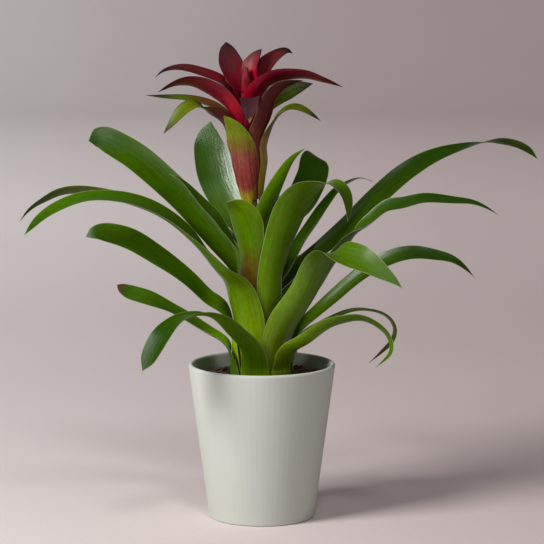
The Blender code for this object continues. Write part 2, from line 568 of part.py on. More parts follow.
def make_soil(material):
    hole = CROWN_RADIUS + GAP
    hole_floor = CROWN_FOOT - GAP
    bottom = POT_FLOOR + GAP
    edge_height = POT_HEIGHT - SOIL_EDGE_DROP
    foot_round = 2 * POT_FOOT_ROUND + GAP
    inside = pot_outer(edge_height) - POT_WALL - 2 * GAP
    inside_low = pot_outer(bottom + foot_round) - POT_WALL - 2 * GAP
    profile = [(0, bottom), (inside_low - foot_round, bottom), (inside_low, bottom + foot_round)]
    top = []
    for step in range(SOIL_RINGS + 1):
        share = step / SOIL_RINGS
        drop = SOIL_EDGE_DROP + (SOIL_MIDDLE_DROP - SOIL_EDGE_DROP) * math.sin(share * math.pi / 2)
        top.append((inside + (hole - inside) * share, POT_HEIGHT - drop))
    profile += top + [(hole, hole_floor), (0, hole_floor)]
    points, faces = turned(profile, SOIL_SIDES)
    first = 2 + 2 * SOIL_SIDES
    for index in range(first, first + len(top) * SOIL_SIDES):
        x, y, height = points[index]
        points[index] = (x, y, height + lump(x, y))
    made_object("soil", points, faces, material)


def make_stem(material):
    profile = [(0, CROWN_FOOT), (CROWN_RADIUS, CROWN_FOOT), (CROWN_RADIUS, CROWN_SHOULDER),
               (STALK_RADIUS_LOW, CROWN_TOP)]
    for height in np.linspace(CROWN_TOP, STALK_TOP, STALK_RINGS + 1)[1:]:
        profile.append((stalk_radius(height), float(height)))
    profile += [(STALK_RADIUS_HIGH * STALK_TIP_SHARE, STALK_TOP + STALK_TIP_RISE / 2),
                (0, STALK_TOP + STALK_TIP_RISE)]
    points, faces = turned(profile, STEM_SIDES, axis_at)
    made_object("stem", points, faces, material, SMOOTH_BELOW)


def make_flower_cone(material):
    """The tight inner bracts: a pointed bud whose lobes wind round it."""
    profile = [(0, CONE_FOOT)]
    for step in range(CONE_RINGS + 1):
        share = step / CONE_RINGS
        radius = CONE_TIP_RADIUS + CONE_RADIUS * math.cos(share * math.pi / 2) ** CONE_FULLNESS
        profile.append((radius, CONE_FOOT + share * CONE_HEIGHT))
    profile.append((0, CONE_FOOT + CONE_HEIGHT + 2 * CONE_TIP_RADIUS))
    points, faces = turned(profile, CONE_SIDES, axis_at)
    for index in range(2, len(points)):
        x, y, height = points[index]
        middle = axis_at(height)
        angle = math.atan2(y - middle[1], x - middle[0])
        share = (height - CONE_FOOT) / CONE_HEIGHT
        swell = 1 + CONE_LOBE * share * math.cos(CONE_LOBES * angle + CONE_WIND * share)
        points[index] = (
            middle[0] + (x - middle[0]) * swell,
            middle[1] + (y - middle[1]) * swell,
            height,
        )
    made_object("flower_cone", points, faces, material, SMOOTH_BELOW)


def make_blades(blades, ring_radius, foot, thickness, channel, stations, strips, material_of):
    for blade in blades:
        upper, under = blade_grids(
            blade, ring_radius, foot(blade.ring), thickness, channel, stations, strips)
        points, faces = closed_blade(upper, under)
        made_object(blade.name, points, faces, material_of(blade), SMOOTH_BELOW)


def plain_material(name, colour, roughness):
    material = bpy.data.materials.new(name)
    material.use_nodes = True
    shader = material.node_tree.nodes["Principled BSDF"]
    shader.inputs["Base Color"].default_value = (*colour, 1)
    shader.inputs["Roughness"].default_value = roughness
    shader.inputs["Metallic"].default_value = 0
    material.diffuse_color = (*colour, 1)
    return material


def main():
    for old in list(bpy.data.objects):
        bpy.data.objects.remove(old)
    make_pot(plain_material("pot_matte", (0.60, 0.60, 0.56), 0.55))
    make_soil(plain_material("bark_mix", (0.045, 0.028, 0.018), 0.95))
    make_stem(plain_material("stem_green", (0.30, 0.38, 0.08), 0.5))
    leaf_green = plain_material("leaf_green", (0.07, 0.19, 0.03), 0.32)
    make_blades(LEAVES, leaf_ring, leaf_foot, LEAF_THICKNESS, LEAF_CHANNEL, LEAF_STATIONS, LEAF_STRIPS,
                lambda blade: leaf_green)
    bract_green = plain_material("bract_green", (0.16, 0.24, 0.05), 0.4)
    bract_red = plain_material("bract_red", (0.30, 0.012, 0.03), 0.4)
    make_flower_cone(bract_red)
    make_blades(BRACTS, bract_ring, bract_foot, BRACT_THICKNESS, BRACT_CHANNEL, BRACT_STATIONS,
                BRACT_STRIPS, lambda blade: bract_red if "red" in blade.name else bract_green)


main()
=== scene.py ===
"""The looks of a potted bromeliad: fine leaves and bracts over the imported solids, bark chips and a studio.

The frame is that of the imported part: metres, the origin at the middle of the pot's underside, X to the
right of the flower head's best side, Y away from it, Z up. The blades are set out in millimetres.
"""

import math
from collections import namedtuple

import bmesh
import bpy
import numpy as np
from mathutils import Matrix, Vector, noise


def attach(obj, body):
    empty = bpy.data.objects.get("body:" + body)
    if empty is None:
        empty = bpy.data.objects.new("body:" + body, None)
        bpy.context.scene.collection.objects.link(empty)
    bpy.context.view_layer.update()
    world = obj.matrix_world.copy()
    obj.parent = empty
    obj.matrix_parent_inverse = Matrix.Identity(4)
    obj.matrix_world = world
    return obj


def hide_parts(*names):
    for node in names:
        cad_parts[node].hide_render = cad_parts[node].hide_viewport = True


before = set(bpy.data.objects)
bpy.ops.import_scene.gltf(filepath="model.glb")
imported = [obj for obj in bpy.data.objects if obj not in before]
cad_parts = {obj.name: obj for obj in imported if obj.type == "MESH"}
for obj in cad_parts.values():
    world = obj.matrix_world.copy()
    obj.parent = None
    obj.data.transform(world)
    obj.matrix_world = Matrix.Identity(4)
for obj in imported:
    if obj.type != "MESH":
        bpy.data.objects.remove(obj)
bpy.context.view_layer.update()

MM = 0.001
BODY = "root"

# Camera and studio
CAMERA_LOOK_AT = (0.009, 0.0, 0.218)
CAMERA_DISTANCE = 2.4
CAMERA_DOWN = 8.2
SENSOR = 36.0
LENS = 180.93

Light = namedtuple("Light", "name azimuth elevation distance width height power colour aim")
LIGHTS = (
    Light("key", -54, 32, 1.9, 0.7, 0.7, 38.5, (1.0, 0.99, 0.97), (0, 0, 0.26)),
    Light("fill", 62, 22, 2.2, 1.2, 1.2, 1.3, (0.98, 0.99, 1.0), (0, 0, 0.24)),
    Light("front", 10, 50, 2.0, 0.35, 0.35, 8.5, (1.0, 1.0, 1.0), (0, 0, 0.28)),
    Light("paper", 0, 35, 4.2, 3.0, 1.5, 58.0, (1.0, 1.0, 1.0), (-0.9, 5.2, 0.3)),
)
AMBIENT = 0.09
BACKDROP_NEAR = -9.0
BACKDROP_FAR = 4.2
BACKDROP_BEND = 1.5
BACKDROP_TOP = 3.2
BACKDROP_HALF_WIDTH = 9.0
# Painted light on the backdrop: its colour is lighter on the left, where the main light stands, and dimmer to
# the right
BACKDROP_LIT = (0.88, 0.84, 0.84)
BACKDROP_DIM = (0.72, 0.60, 0.60)
BACKDROP_PAINTED_FALLOFF = (-0.9, 0.4)
BACKDROP_STEPS = 24

# Pot and soil, as in the source
POT_HEIGHT = 137.0
POT_RIM_RADIUS = 65.0
POT_FOOT_RADIUS = 46.9
POT_WALL = 4.0
SOIL_EDGE_DROP = 14.5
SOIL_MIDDLE_DROP = 8.5

# Crown and flower stalk, as in the source
CROWN_SHOULDER = 122.0
CROWN_RADIUS = 28.6
CROWN_TOP = 150.0
STALK_RADIUS_LOW = 7.0
STALK_RADIUS_HIGH = 4.6
STALK_TOP = 375.0
GAP = 0.3
AXIS = ((0, 0, 100), (0, 0, 125), (-3, 0, 200), (-8, 0, 262), (-11.5, 0, 310), (-13, 0, 345),
        (-13.5, 0, 420))
STALK_RED_FROM = 340.0

# Inner bud of the head, as in the source
CONE_FOOT = 377.0
CONE_HEIGHT = 21.0
CONE_RADIUS = 5.0
CONE_TIP_RADIUS = 0.3
CONE_FULLNESS = 0.65
CONE_LOBES = 3
CONE_LOBE = 0.22
CONE_WIND = 4.0
BUD_SIDES = 72
BUD_RINGS = 30
BUD_CREASE = 0.05

# Rings that the sheaths sit in, as in the source
LEAF_RING_OUTER = 27.4
LEAF_RING_STEP = 2.45
LEAF_FLARE = 0.02
LEAF_FOOT_THICKNESS = 1.7
BRACT_RING_OUTER = 8.8
BRACT_RING_STEP = 1.8
BRACT_FUNNEL = ((270, -0.8), (279, -0.6), (284, 0), (300, 3.2), (325, 7), (345, 8.4), (365, 9.4),
                (400, 10.8))
BRACT_FOOT_THICKNESS = 1.1
BRACT_LOWEST = 279.5
FOOT_STEP = 0.5
SHEATH_KNOTS = 0.6
SHEATH_POINTS = 4
OPENING_SHARE = 0.22
LEAF_CHANNEL = ((0, 48), (0.35, 46), (0.6, 34), (0.8, 20), (1, 6))
BRACT_CHANNEL = ((0, 40), (0.5, 32), (0.8, 20), (1, 5))

# What the fine blades add: more stations, thin sections, a real point and gently rippled margins
SAMPLES = 480
FINE_STEPS = 3
BEND_WEIGHT = 28.0
LEAF_GRID = (96, 18)
BRACT_GRID = (64, 16)
LEAF_SECTION = ((0, 1.1), (0.25, 0.95), (0.6, 0.8), (1, 0.5))
BRACT_SECTION = ((0, 0.8), (0.5, 0.7), (1, 0.45))
MARGIN_THICKNESS = 0.16
POINT_HALF_WIDTH = 0.12
LEAF_RIPPLE = (0.45, 34.0)
BRACT_RIPPLE = (0.28, 13.0)
RIPPLE_SEEDS = (0.0, 40.0)
RIPPLE_EDGE = 3
RIPPLE_HALF_WIDTH = 3.0
FIRST_SEED = 5.0
SEED_STEP = 13.0

# One blade: where its sheath sits, where it leaves the ring, how wide it is, and where its middle runs.
# Half widths and twists in degrees stand at shares of the length. Each blade starts without a twist and
# ends in a point, so those two aren't listed.
Blade = namedtuple("Blade", "name ring azimuth leave sheath widths twist route")

LONG = ((0.3, 0.92), (0.45, 1), (0.62, 0.95), (0.8, 0.66), (0.92, 0.31))
BLUNT = ((0.3, 0.92), (0.5, 1), (0.75, 0.97), (0.9, 0.8), (0.97, 0.45))
SPEAR = ((0.35, 0.95), (0.55, 1), (0.72, 0.86), (0.86, 0.52), (0.95, 0.2))
BROAD = ((0.15, 0.72), (0.38, 1), (0.58, 0.92), (0.8, 0.6), (0.93, 0.26))
PETAL = ((0.15, 0.6), (0.4, 0.8), (0.62, 1), (0.78, 0.95), (0.9, 0.6), (0.97, 0.25))

STRAIGHT = ((1, 0),)


def outline(shape, half_width):
    return tuple((share, half_width * part) for share, part in shape)


LEAVES = (
    # Lowest leaves, which clear the rim and arch outwards
    Blade("leaf_front_left_low", 1, -104, 136, 13.8,
          ((0.3, 9.9), (0.5, 10.6), (0.72, 10.8), (0.84, 11), (0.93, 8.6)),
          ((0.3, 5), (0.5, 31), (0.6, 31), (0.7, 39), (0.8, 54), (1, 60)),
          ((-9, -31, 152), (-19, -38, 165), (-29, -46, 176), (-42, -56, 186.5), (-54, -66, 190),
           (-67, -75, 188.5), (-80, -82, 180), (-90, -87, 167), (-97, -90, 154), (-101, -92, 146))),
    Blade("leaf_front_right_low", 1, -46, 136, 13, outline(LONG, 9),
          ((0.08, 0), (0.2, 26), (0.3, 32), (0.45, 22), (0.6, 16), (1, 22)),
          ((23, -28, 151), (33, -34, 159), (46, -40, 169), (59, -45, 177.5), (72, -49, 182), (83, -52, 184),
           (93, -54, 182), (103, -55, 176), (109, -56, 169), (111, -57, 158), (106, -57, 150),
           (98, -57, 143))),
    Blade("leaf_right_low", 1, 14, 136, 12, outline(LONG, 7.2), STRAIGHT,
          ((36, 12, 157), (50, 16, 167), (65, 20, 174), (78, 24, 178.5), (90, 28, 179.5), (103, 31, 177),
           (113, 33, 171), (118, 34, 161), (115, 35, 150), (107, 35, 141), (96, 34, 131))),
    Blade("leaf_left_low", 1, -163, 138, 13.6, outline(BLUNT, 9),
          ((0.1, 4), (0.25, 30), (0.4, 38), (0.6, 40), (0.8, 66), (1, 85)),
          ((-31, -10, 154), (-45, -6, 164), (-59, -2, 172), (-73, 2, 180), (-88, 6, 187.5), (-103, 9, 194),
           (-117, 12, 198.5), (-128, 14, 204.5))),
    Blade("leaf_back_low", 1, 84, 136, 14, outline(LONG, 11.5), STRAIGHT,
          ((3, 36, 155), (4, 56, 172), (4, 80, 184), (3, 104, 186), (1, 126, 178), (-1, 142, 163),
           (-2, 152, 146))),
    # Second ring
    Blade("leaf_front_right", 2, -54, 150, 17.4,
          ((0.2, 17.6), (0.32, 15.2), (0.5, 14.2), (0.66, 14), (0.76, 12.9), (0.86, 8.6), (0.94, 4.2)),
          ((0.16, 0), (0.3, 14), (0.46, 14), (0.6, -6), (0.7, -48), (0.8, -60), (1, -55)),
          ((19, -22, 168), (24, -24, 180), (33, -27, 195), (41, -32, 210), (46, -37, 223), (51, -42, 233),
           (57, -49, 240.5), (66, -57, 242.5), (77, -66, 241), (88, -75, 238), (101, -83, 230.5),
           (112, -89, 223.5), (119, -94, 217.5))),
    Blade("leaf_left_middle", 2, -172, 164, 16, outline(BLUNT, 11.9),
          ((0.15, 5), (0.3, 20), (0.5, 24), (0.7, 36), (0.9, 45), (1, 45)),
          ((-35, -12, 186), (-47, -16, 195), (-62, -20, 210), (-80, -23, 226), (-97, -26, 239),
           (-114, -28, 250), (-131, -29, 256), (-143, -30, 257), (-152, -30, 253))),
    Blade("leaf_right_middle", 2, 14, 148, 12, outline(LONG, 10.5),
          ((0.15, 0), (0.35, -12), (0.8, -14), (1, -14)),
          ((36, 3, 168), (46, 0, 178), (57, -4, 188.5), (71, -8, 201.5), (86, -12, 215), (104, -16, 227.5),
           (119, -19, 234.5), (135, -22, 237.5), (151, -24, 236), (165, -26, 233), (176, -27, 226),
           (185, -27, 217))),
    Blade("leaf_back_right_low", 2, 79, 150, 14.6, outline(LONG, 11.5), STRAIGHT,
          ((10, 36, 170), (16, 57, 192), (22, 82, 209), (26, 110, 216), (28, 136, 211), (28, 158, 196),
           (27, 172, 176))),
    # Third ring
    Blade("leaf_long_left", 3, -122, 176, 18,
          ((0.16, 17.6), (0.3, 16.8), (0.45, 17), (0.62, 14.8), (0.8, 10.6), (0.9, 7.4), (0.96, 4.2)),
          ((0.2, 0), (0.34, 36), (0.5, 56), (0.62, 58), (0.75, 58), (0.88, 68), (1, 85)),
          ((-23.5, -24, 206), (-37, -32, 221.5), (-50.5, -39, 239), (-64, -45, 255), (-80.5, -50, 270),
           (-97, -54, 280.3), (-114, -57, 287), (-131, -60, 290.3), (-148, -62, 290.5), (-165, -64, 286.5),
           (-180, -65, 279.5), (-192, -66, 270.5), (-202, -66, 259))),
    Blade("leaf_back_left_low", 3, 106, 165, 16.5, outline(LONG, 12), STRAIGHT,
          ((-10, 34, 188), (-16, 54, 212), (-22, 80, 232), (-26, 108, 240), (-28, 134, 236), (-28, 156, 222),
           (-27, 171, 203))),
    # Fourth ring
    Blade("leaf_centre_right", 4, -55, 182, 15.5,
          ((0.3, 14.6), (0.5, 15.8), (0.66, 16.4), (0.76, 14.6), (0.87, 11), (0.94, 6.5)),
          ((0.33, 0), (0.46, 6), (0.58, 16), (0.7, 6), (0.8, -20), (0.87, -34), (1, -45)),
          ((10, -20, 214), (13.5, -22.5, 233), (18, -25, 251), (24, -28.5, 270), (32, -34, 285),
           (43, -40, 296), (53, -46, 301), (62, -50, 301), (70, -52, 295), (74, -53, 284), (74, -53, 269))),
    Blade("leaf_long_left_behind", 4, 171, 186, 15, outline(LONG, 11.5),
          ((0.3, -4), (0.6, -12), (1, -14)),
          ((-25, 11, 203), (-38, 17, 217), (-56, 26, 236), (-76, 36, 253), (-96, 45, 265), (-118, 53, 273),
           (-141, 60, 279), (-163, 65, 282), (-182, 68, 280), (-195, 70, 274), (-209, 71, 265),
           (-219, 72, 253))),
    Blade("leaf_back_middle", 4, 85, 182, 12.6, outline(LONG, 12.5), STRAIGHT,
          ((0, 30, 206), (3, 48, 232), (7, 72, 255), (9, 100, 268), (10, 128, 269), (10, 153, 259),
           (10, 172, 242))),
    # Fifth ring
    Blade("leaf_centre_front", 5, -115, 205, 14,
          ((0.45, 12.8), (0.7, 13.6), (0.82, 15.6), (0.9, 13.6), (0.96, 8)), STRAIGHT,
          ((-9, -19, 227), (-10.5, -21, 245), (-13, -24, 261), (-16, -28, 272.5), (-22, -31, 280),
           (-30, -34, 284))),
    Blade("leaf_right_upper", 5, 25, 162, 9.2,
          ((0.16, 9.6), (0.34, 12), (0.48, 11), (0.62, 9.8), (0.8, 6.9), (0.92, 3.3)),
          ((0.14, 4), (0.26, 34), (0.38, 48), (0.46, 42), (0.54, 4), (0.62, -4), (1, 0)),
          ((29, 12, 182), (47, 13, 197), (60, 14, 219), (72, 14, 236), (82, 13, 249), (92, 12, 258),
           (101, 11, 266), (111, 9, 274), (124, 6, 277), (140, 4, 281.5), (156, 2, 282), (170, 0, 281),
           (183, -2, 280), (195, -4, 276), (207, -6, 269))),
    Blade("leaf_left_upper", 5, 127, 192, 13.6,
          ((0.3, 12.4), (0.5, 14.2), (0.75, 14), (0.9, 12.4), (0.97, 9.6)),
          ((0.25, 0), (0.4, 14), (0.6, 19), (0.8, 27), (0.92, 38), (1, 40)),
          ((-17, 15, 211), (-27, 23, 226), (-39, 33, 240), (-54, 46, 257), (-70, 58, 273.5), (-86, 68, 288),
           (-102, 78, 301.5), (-118, 88, 313), (-134, 96, 322), (-147, 102, 327), (-158, 106, 323))),
    # Sixth ring
    Blade("leaf_long_right", 6, 42, 194, 12,
          ((0.3, 11), (0.5, 12.4), (0.65, 11.8), (0.8, 8.4), (0.9, 6), (0.96, 4.4)),
          ((0.18, 0), (0.38, -15), (0.6, -18), (0.7, -11), (0.8, 6), (0.855, 29), (0.9, 54), (1, 68)),
          ((20, 19, 205), (35, 28, 218), (52, 37, 230), (67, 43, 242), (81, 47, 254), (95, 52, 267.5),
           (113, 57, 284.5), (129, 62, 297.5), (147, 67, 308.5), (165, 71, 316), (183, 75, 321),
           (200, 78, 324.5), (216, 80, 325), (231, 81, 322), (242, 82, 316), (249, 82, 309))),
    Blade("leaf_left_inner", 6, 187, 200, 11,
          ((0.4, 9.6), (0.6, 10.4), (0.74, 9.4), (0.86, 5.6), (0.94, 2.4)),
          ((0.46, 0), (0.62, 24), (0.74, 34), (1, 34)),
          ((-22, 0, 226), (-27, 2, 241), (-35, 5, 255), (-42, 8, 266), (-51, 10, 276), (-61, 11, 288),
           (-71, 12, 298), (-81, 13, 303))),
    # Seventh ring
    Blade("leaf_back_tall", 7, 112, 226, 11,
          ((0.25, 11), (0.45, 13), (0.6, 15.4), (0.78, 16.6), (0.88, 14.6), (0.95, 9)),
          ((0.42, 0), (0.64, 16), (1, 18)),
          ((-14, 21, 247), (-23, 31, 263), (-32, 41, 277), (-40, 51, 293), (-44, 60, 308), (-47, 67, 321),
           (-48, 73, 332), (-46, 78, 344))),
    Blade("leaf_right_inner", 7, 6, 198, 10.5,
          ((0.3, 6.8), (0.43, 8.6), (0.56, 10.4), (0.7, 9.8), (0.84, 6.6), (0.93, 3.6)),
          ((0.3, 0), (0.5, -18), (0.75, -20), (1, -10)),
          ((23, 4, 217), (30, 12, 231), (37, 21, 244), (45, 28, 255), (53, 34, 267), (61, 40, 278),
           (69, 45, 287), (78, 50, 292), (88, 53, 295), (99, 54, 292))),
    # Eighth ring
    Blade("leaf_right_of_stalk", 8, -34, 236, 8, outline(SPEAR, 9.4),
          ((0.4, 4), (0.6, 28), (1, 42)),
          ((-0.5, -7.5, 260), (4.5, -9.5, 277), (11, -10, 292), (18, -10, 306), (26.5, -9, 319),
           (38, -7, 328))),
    Blade("leaf_back_right_tall", 8, 80, 238, 9,
          ((0.25, 9), (0.45, 10), (0.62, 12), (0.74, 14.2), (0.88, 14.4), (0.95, 10)), STRAIGHT,
          ((5, 15, 236), (13, 24, 251), (23, 35, 264), (34, 46, 276), (41, 56, 288), (45, 65, 297),
           (47, 73, 307), (49, 82, 311), (51, 93, 309))),
)

BRACTS = (
    # Sheathing bracts of the stalk
    Blade("bract_stalk_front", 1, -114, 328, 5, outline(BROAD, 16), STRAIGHT,
          ((-22, -15, 340), (-27, -17, 350), (-33, -18, 357))),
    Blade("bract_right_low", 0.1, -18, 318, 5,
          ((0.2, 7.8), (0.34, 8), (0.5, 8.2), (0.62, 8.2), (0.75, 8.2), (0.88, 5), (0.96, 2)),
          ((0.3, 4), (0.45, 6), (0.62, -16), (0.8, -27), (1, -34)),
          ((3, -5, 326), (4, -5.2, 333), (6.5, -5.4, 340), (10.5, -5.6, 349), (17, -6, 358), (28, -8, 363),
           (41, -10, 359), (51, -11, 352))),
    Blade("bract_back_low", 2, 85, 328, 5, outline(BROAD, 11), STRAIGHT,
          ((-12, 19, 346), (-12, 30, 358), (-13, 43, 362), (-14, 55, 357), (-15, 64, 347))),
    # Lower bracts of the head
    Blade("bract_left_low", 2, 196, 334, 6,
          ((0.15, 8), (0.38, 11.6), (0.6, 11), (0.74, 8.8), (0.86, 6), (0.94, 3)),
          ((0.3, -8), (0.45, -20), (0.6, -18), (0.68, 6), (0.76, 36), (0.85, 46), (1, 48)),
          ((-32, -5, 350), (-46, -8, 360), (-58, -10, 365), (-68, -11, 361), (-77, -12, 351),
           (-85, -12, 341))),
    Blade("bract_left_green", 3, 164, 342, 6, outline(BROAD, 10),
          ((0.4, 0), (0.6, 14), (1, 24)),
          ((-36, 9, 358), (-49, 13, 365), (-63, 15, 368.5), (-77, 16, 370), (-89, 16, 371), (-101, 16, 372))),
    Blade("bract_right_green", 3, 37, 346, 6,
          ((0.15, 6), (0.38, 7), (0.6, 9.8), (0.78, 9), (0.9, 5.4)),
          ((0.45, 0), (0.65, -24), (1, -42)),
          ((1, 10, 358), (9, 13, 367), (20, 15, 374), (32, 17, 379), (45, 20, 382))),
    Blade("bract_front_brown", 2, -54, 338, 6,
          ((0.15, 7), (0.38, 8.6), (0.62, 9), (0.8, 7.6), (0.93, 3.2)), STRAIGHT,
          ((2, -14.5, 354), (7, -17, 370), (14, -19, 380), (23, -20, 385), (36, -21, 388))),
    # Red bracts of the head
    Blade("bract_left_front_red", 4, -143, 350, 6,
          ((0.15, 8), (0.3, 9.6), (0.45, 12.6), (0.62, 12.2), (0.8, 8.4), (0.93, 3.6)),
          ((0.4, 0), (0.6, -14), (1, -14)),
          ((-27, -12, 361), (-35, -15, 372), (-46, -17, 380), (-57, -19, 385), (-68, -21, 386),
           (-79, -23, 383), (-89, -24, 378))),
    Blade("bract_back_red", 4, 113, 350, 6, outline(BROAD, 9.2), STRAIGHT,
          ((-15, 20, 372), (-13, 34, 384), (-10, 50, 390), (-9, 66, 388), (-8, 78, 381))),
    Blade("bract_right_red", 5, -62, 352, 6.4,
          ((0.15, 7.4), (0.3, 8.6), (0.45, 10.6), (0.62, 10.2), (0.8, 7.4), (0.93, 3.2)),
          ((0.38, 0), (0.55, -16), (0.7, -25), (0.85, -24), (1, -24)),
          ((-8, -13.5, 369), (-3, -14, 378), (4, -14, 385), (13, -13, 389), (25, -13, 391), (40, -15, 391),
           (52, -18, 388), (62, -20, 385), (70, -21, 382))),
    Blade("bract_left_top_red", 5, 170, 360, 5.5, outline(BROAD, 10.6),
          ((0.4, 0), (0.62, 18), (1, 28)),
          ((-31, 3, 380), (-42, 5, 388), (-54, 7, 392.5), (-66, 9, 396), (-78, 11, 396), (-87, 12, 393),
           (-93, 13, 388))),
    Blade("bract_right_top_red", 5, 48, 366, 5.5,
          ((0.15, 5.2), (0.4, 7.2), (0.6, 9.3), (0.74, 7.8), (0.86, 5.2), (0.94, 3)),
          ((0.42, 0), (0.65, -30), (1, -40)),
          ((-3, 11, 388), (4, 14, 400), (13, 16, 407.5), (22, 17, 411), (27, 18, 408.5))),
    Blade("bract_front_top_red", 3, -90, 352, 3.6,
          ((0.15, 3.6), (0.44, 3.8), (0.6, 6), (0.72, 9.4), (0.86, 7.6), (0.94, 4)), STRAIGHT,
          ((-11.2, -19.2, 361), (-9, -23.4, 371), (-10, -28.5, 373), (-10, -35, 371), (-10, -41, 364),
           (-10, -45, 353))),
    Blade("bract_upright_left_red", 6, 156, 366, 5,
          ((0.15, 6), (0.4, 6.7), (0.62, 11.8), (0.8, 12.2), (0.9, 9.4), (0.96, 5.4)),
          ((0.48, 0), (0.7, 32), (1, 40)),
          ((-24, 8, 388), (-28, 10, 401), (-30, 11, 411), (-31, 12, 419))),
    Blade("bract_upright_right_red", 6, 22, 366, 5, outline(PETAL, 9),
          ((0.45, 0), (0.65, -30), (1, -50)),
          ((-10, 4, 390), (-9, 6, 401), (0, 9, 413))),
)

# Colours of leaves and bracts, as linear red, green and blue
PALETTE = dict(
    deep=(0.02, 0.062, 0.001),
    middle=(0.046, 0.118, 0.001),
    fresh=(0.072, 0.16, 0.001),
    bright=(0.125, 0.245, 0.001),
    yellow=(0.19, 0.275, 0.006),
    olive=(0.085, 0.12, 0.008),
    rusty=(0.11, 0.062, 0.008),
    dry=(0.1, 0.052, 0.022),
    # pale: the leaves' margin, partly their own pale edge and partly a painted highlight along it
    pale=(0.3, 0.36, 0.14),
    black=(0.014, 0.007, 0.007),
    maroon=(0.085, 0.01, 0.01),
    wine=(0.15, 0.007, 0.014),
    crimson=(0.3, 0.003, 0.014),
    pink=(0.2, 0.034, 0.026),
    tan=(0.3, 0.17, 0.07),
    earth=(0.135, 0.09, 0.01),
    plum=(0.046, 0.015, 0.018),
    brown=(0.19, 0.046, 0.03),
    rust=(0.15, 0.052, 0.016),
    moss=(0.075, 0.105, 0.003),
    fern=(0.028, 0.045, 0.004),
    lime=(0.135, 0.17, 0.004),
    gold=(0.34, 0.26, 0.02),
)


def stops(text):
    """Colour stops from words, such as "lime 0.2, black 1"."""
    pairs = [pair.split() for pair in text.split(",")]
    return tuple((float(place), PALETTE[name]) for name, place in pairs)


# How a blade is coloured: stops along the upper and the under face, the margin and its width in
# millimetres, where a dried tip begins, how rough and how streaked it is, and the shader's specular level.
Paint = namedtuple("Paint", "upper under margin margin_width dry roughness streaks gloss")

# The pale margin is partly the leaves' own pale edge and partly a painted highlight where the edge catches
# the light.
LEAF_PAINT = Paint(
    upper=stops("yellow 0, bright 0.22, middle 0.42, middle 0.85, deep 1"),
    under=stops("yellow 0, bright 0.25, fresh 0.45, middle 0.8, olive 1"),
    margin=PALETTE["pale"], margin_width=0.7, dry=1.0, roughness=(0.22, 0.36), streaks=0.3, gloss=0.13)


def like(paint, upper_tone_and_shade=1.0, under_tone_and_shade=None, **changes):
    """The paint with some changes, its stops told in words, and with its two faces lighter or darker by a
    tone that is the leaf's own colour and, for leaves in shade, painted shade.
    """
    for face, tone in (("upper", upper_tone_and_shade), ("under", under_tone_and_shade or upper_tone_and_shade)):
        marks = stops(changes[face]) if face in changes else getattr(paint, face)
        changes[face] = tuple((place, tuple(part * tone for part in colour)) for place, colour in marks)
    return paint._replace(**changes)


FRESH_PAINT = like(
    LEAF_PAINT, upper="yellow 0, bright 0.3, fresh 0.55, fresh 0.85, middle 1",
    under="yellow 0, bright 0.3, fresh 0.6, fresh 0.85, middle 1")
DARK_PAINT = like(
    LEAF_PAINT, upper="bright 0, fresh 0.3, middle 0.5, deep 0.8, deep 1",
    under="bright 0, fresh 0.3, middle 0.5, olive 0.8, deep 1")
# The tones are the leaves' own colour and, for some, painted shade: leaves that lie in shade or face away
# from the main light get darker copies of a paint.
LEAF_PAINTS = {
    "leaf_front_left_low": like(DARK_PAINT, 0.85, 0.95, under="bright 0, fresh 0.15, fresh 0.6, fresh 1"),
    "leaf_front_right_low": like(FRESH_PAINT, 0.85),
    "leaf_right_low": like(DARK_PAINT, 1.1, dry=0.9),
    "leaf_left_low": like(
        LEAF_PAINT, 1.2, 0.9, under="fresh 0, fresh 0.3, middle 0.6, olive 1", dry=0.95, gloss=0.4),
    "leaf_left_middle": like(LEAF_PAINT, 1.5, dry=0.985, gloss=0.25),
    "leaf_front_right": like(FRESH_PAINT, 0.85, gloss=0.3, roughness=(0.30, 0.42)),
    "leaf_centre_right": like(
        FRESH_PAINT, under="olive 0, olive 0.16, bright 0.3, fresh 0.55, fresh 0.74, bright 0.88, bright 1"),
    "leaf_centre_front": like(FRESH_PAINT, under="rusty 0, rusty 0.5, fresh 0.74, bright 1"),
    "leaf_right_of_stalk": like(FRESH_PAINT, 1.3, under="rusty 0, rusty 0.4, fresh 0.55, fresh 1"),
    "leaf_long_left": like(LEAF_PAINT, 0.95),
    # painted shade: a darker copy, as this leaf faces away from the main light
    "leaf_left_upper": like(LEAF_PAINT, 0.68, gloss=0.06),
    "leaf_back_tall": like(DARK_PAINT, 1.5, gloss=0.9, roughness=(0.28, 0.40)),
    # painted shade: a darker copy, as this leaf lies in shadow behind the long left leaf
    "leaf_long_left_behind": like(DARK_PAINT, 0.6),
    "leaf_right_inner": DARK_PAINT,
    "leaf_back_right_tall": like(DARK_PAINT, 1.4),
    # painted shade: darker copies for the leaves on the shaded right side
    "leaf_right_upper": like(DARK_PAINT, 0.8, gloss=0.3),
    "leaf_right_middle": like(DARK_PAINT, 0.7, gloss=0.3),
    "leaf_long_right": like(DARK_PAINT, 0.7),
}

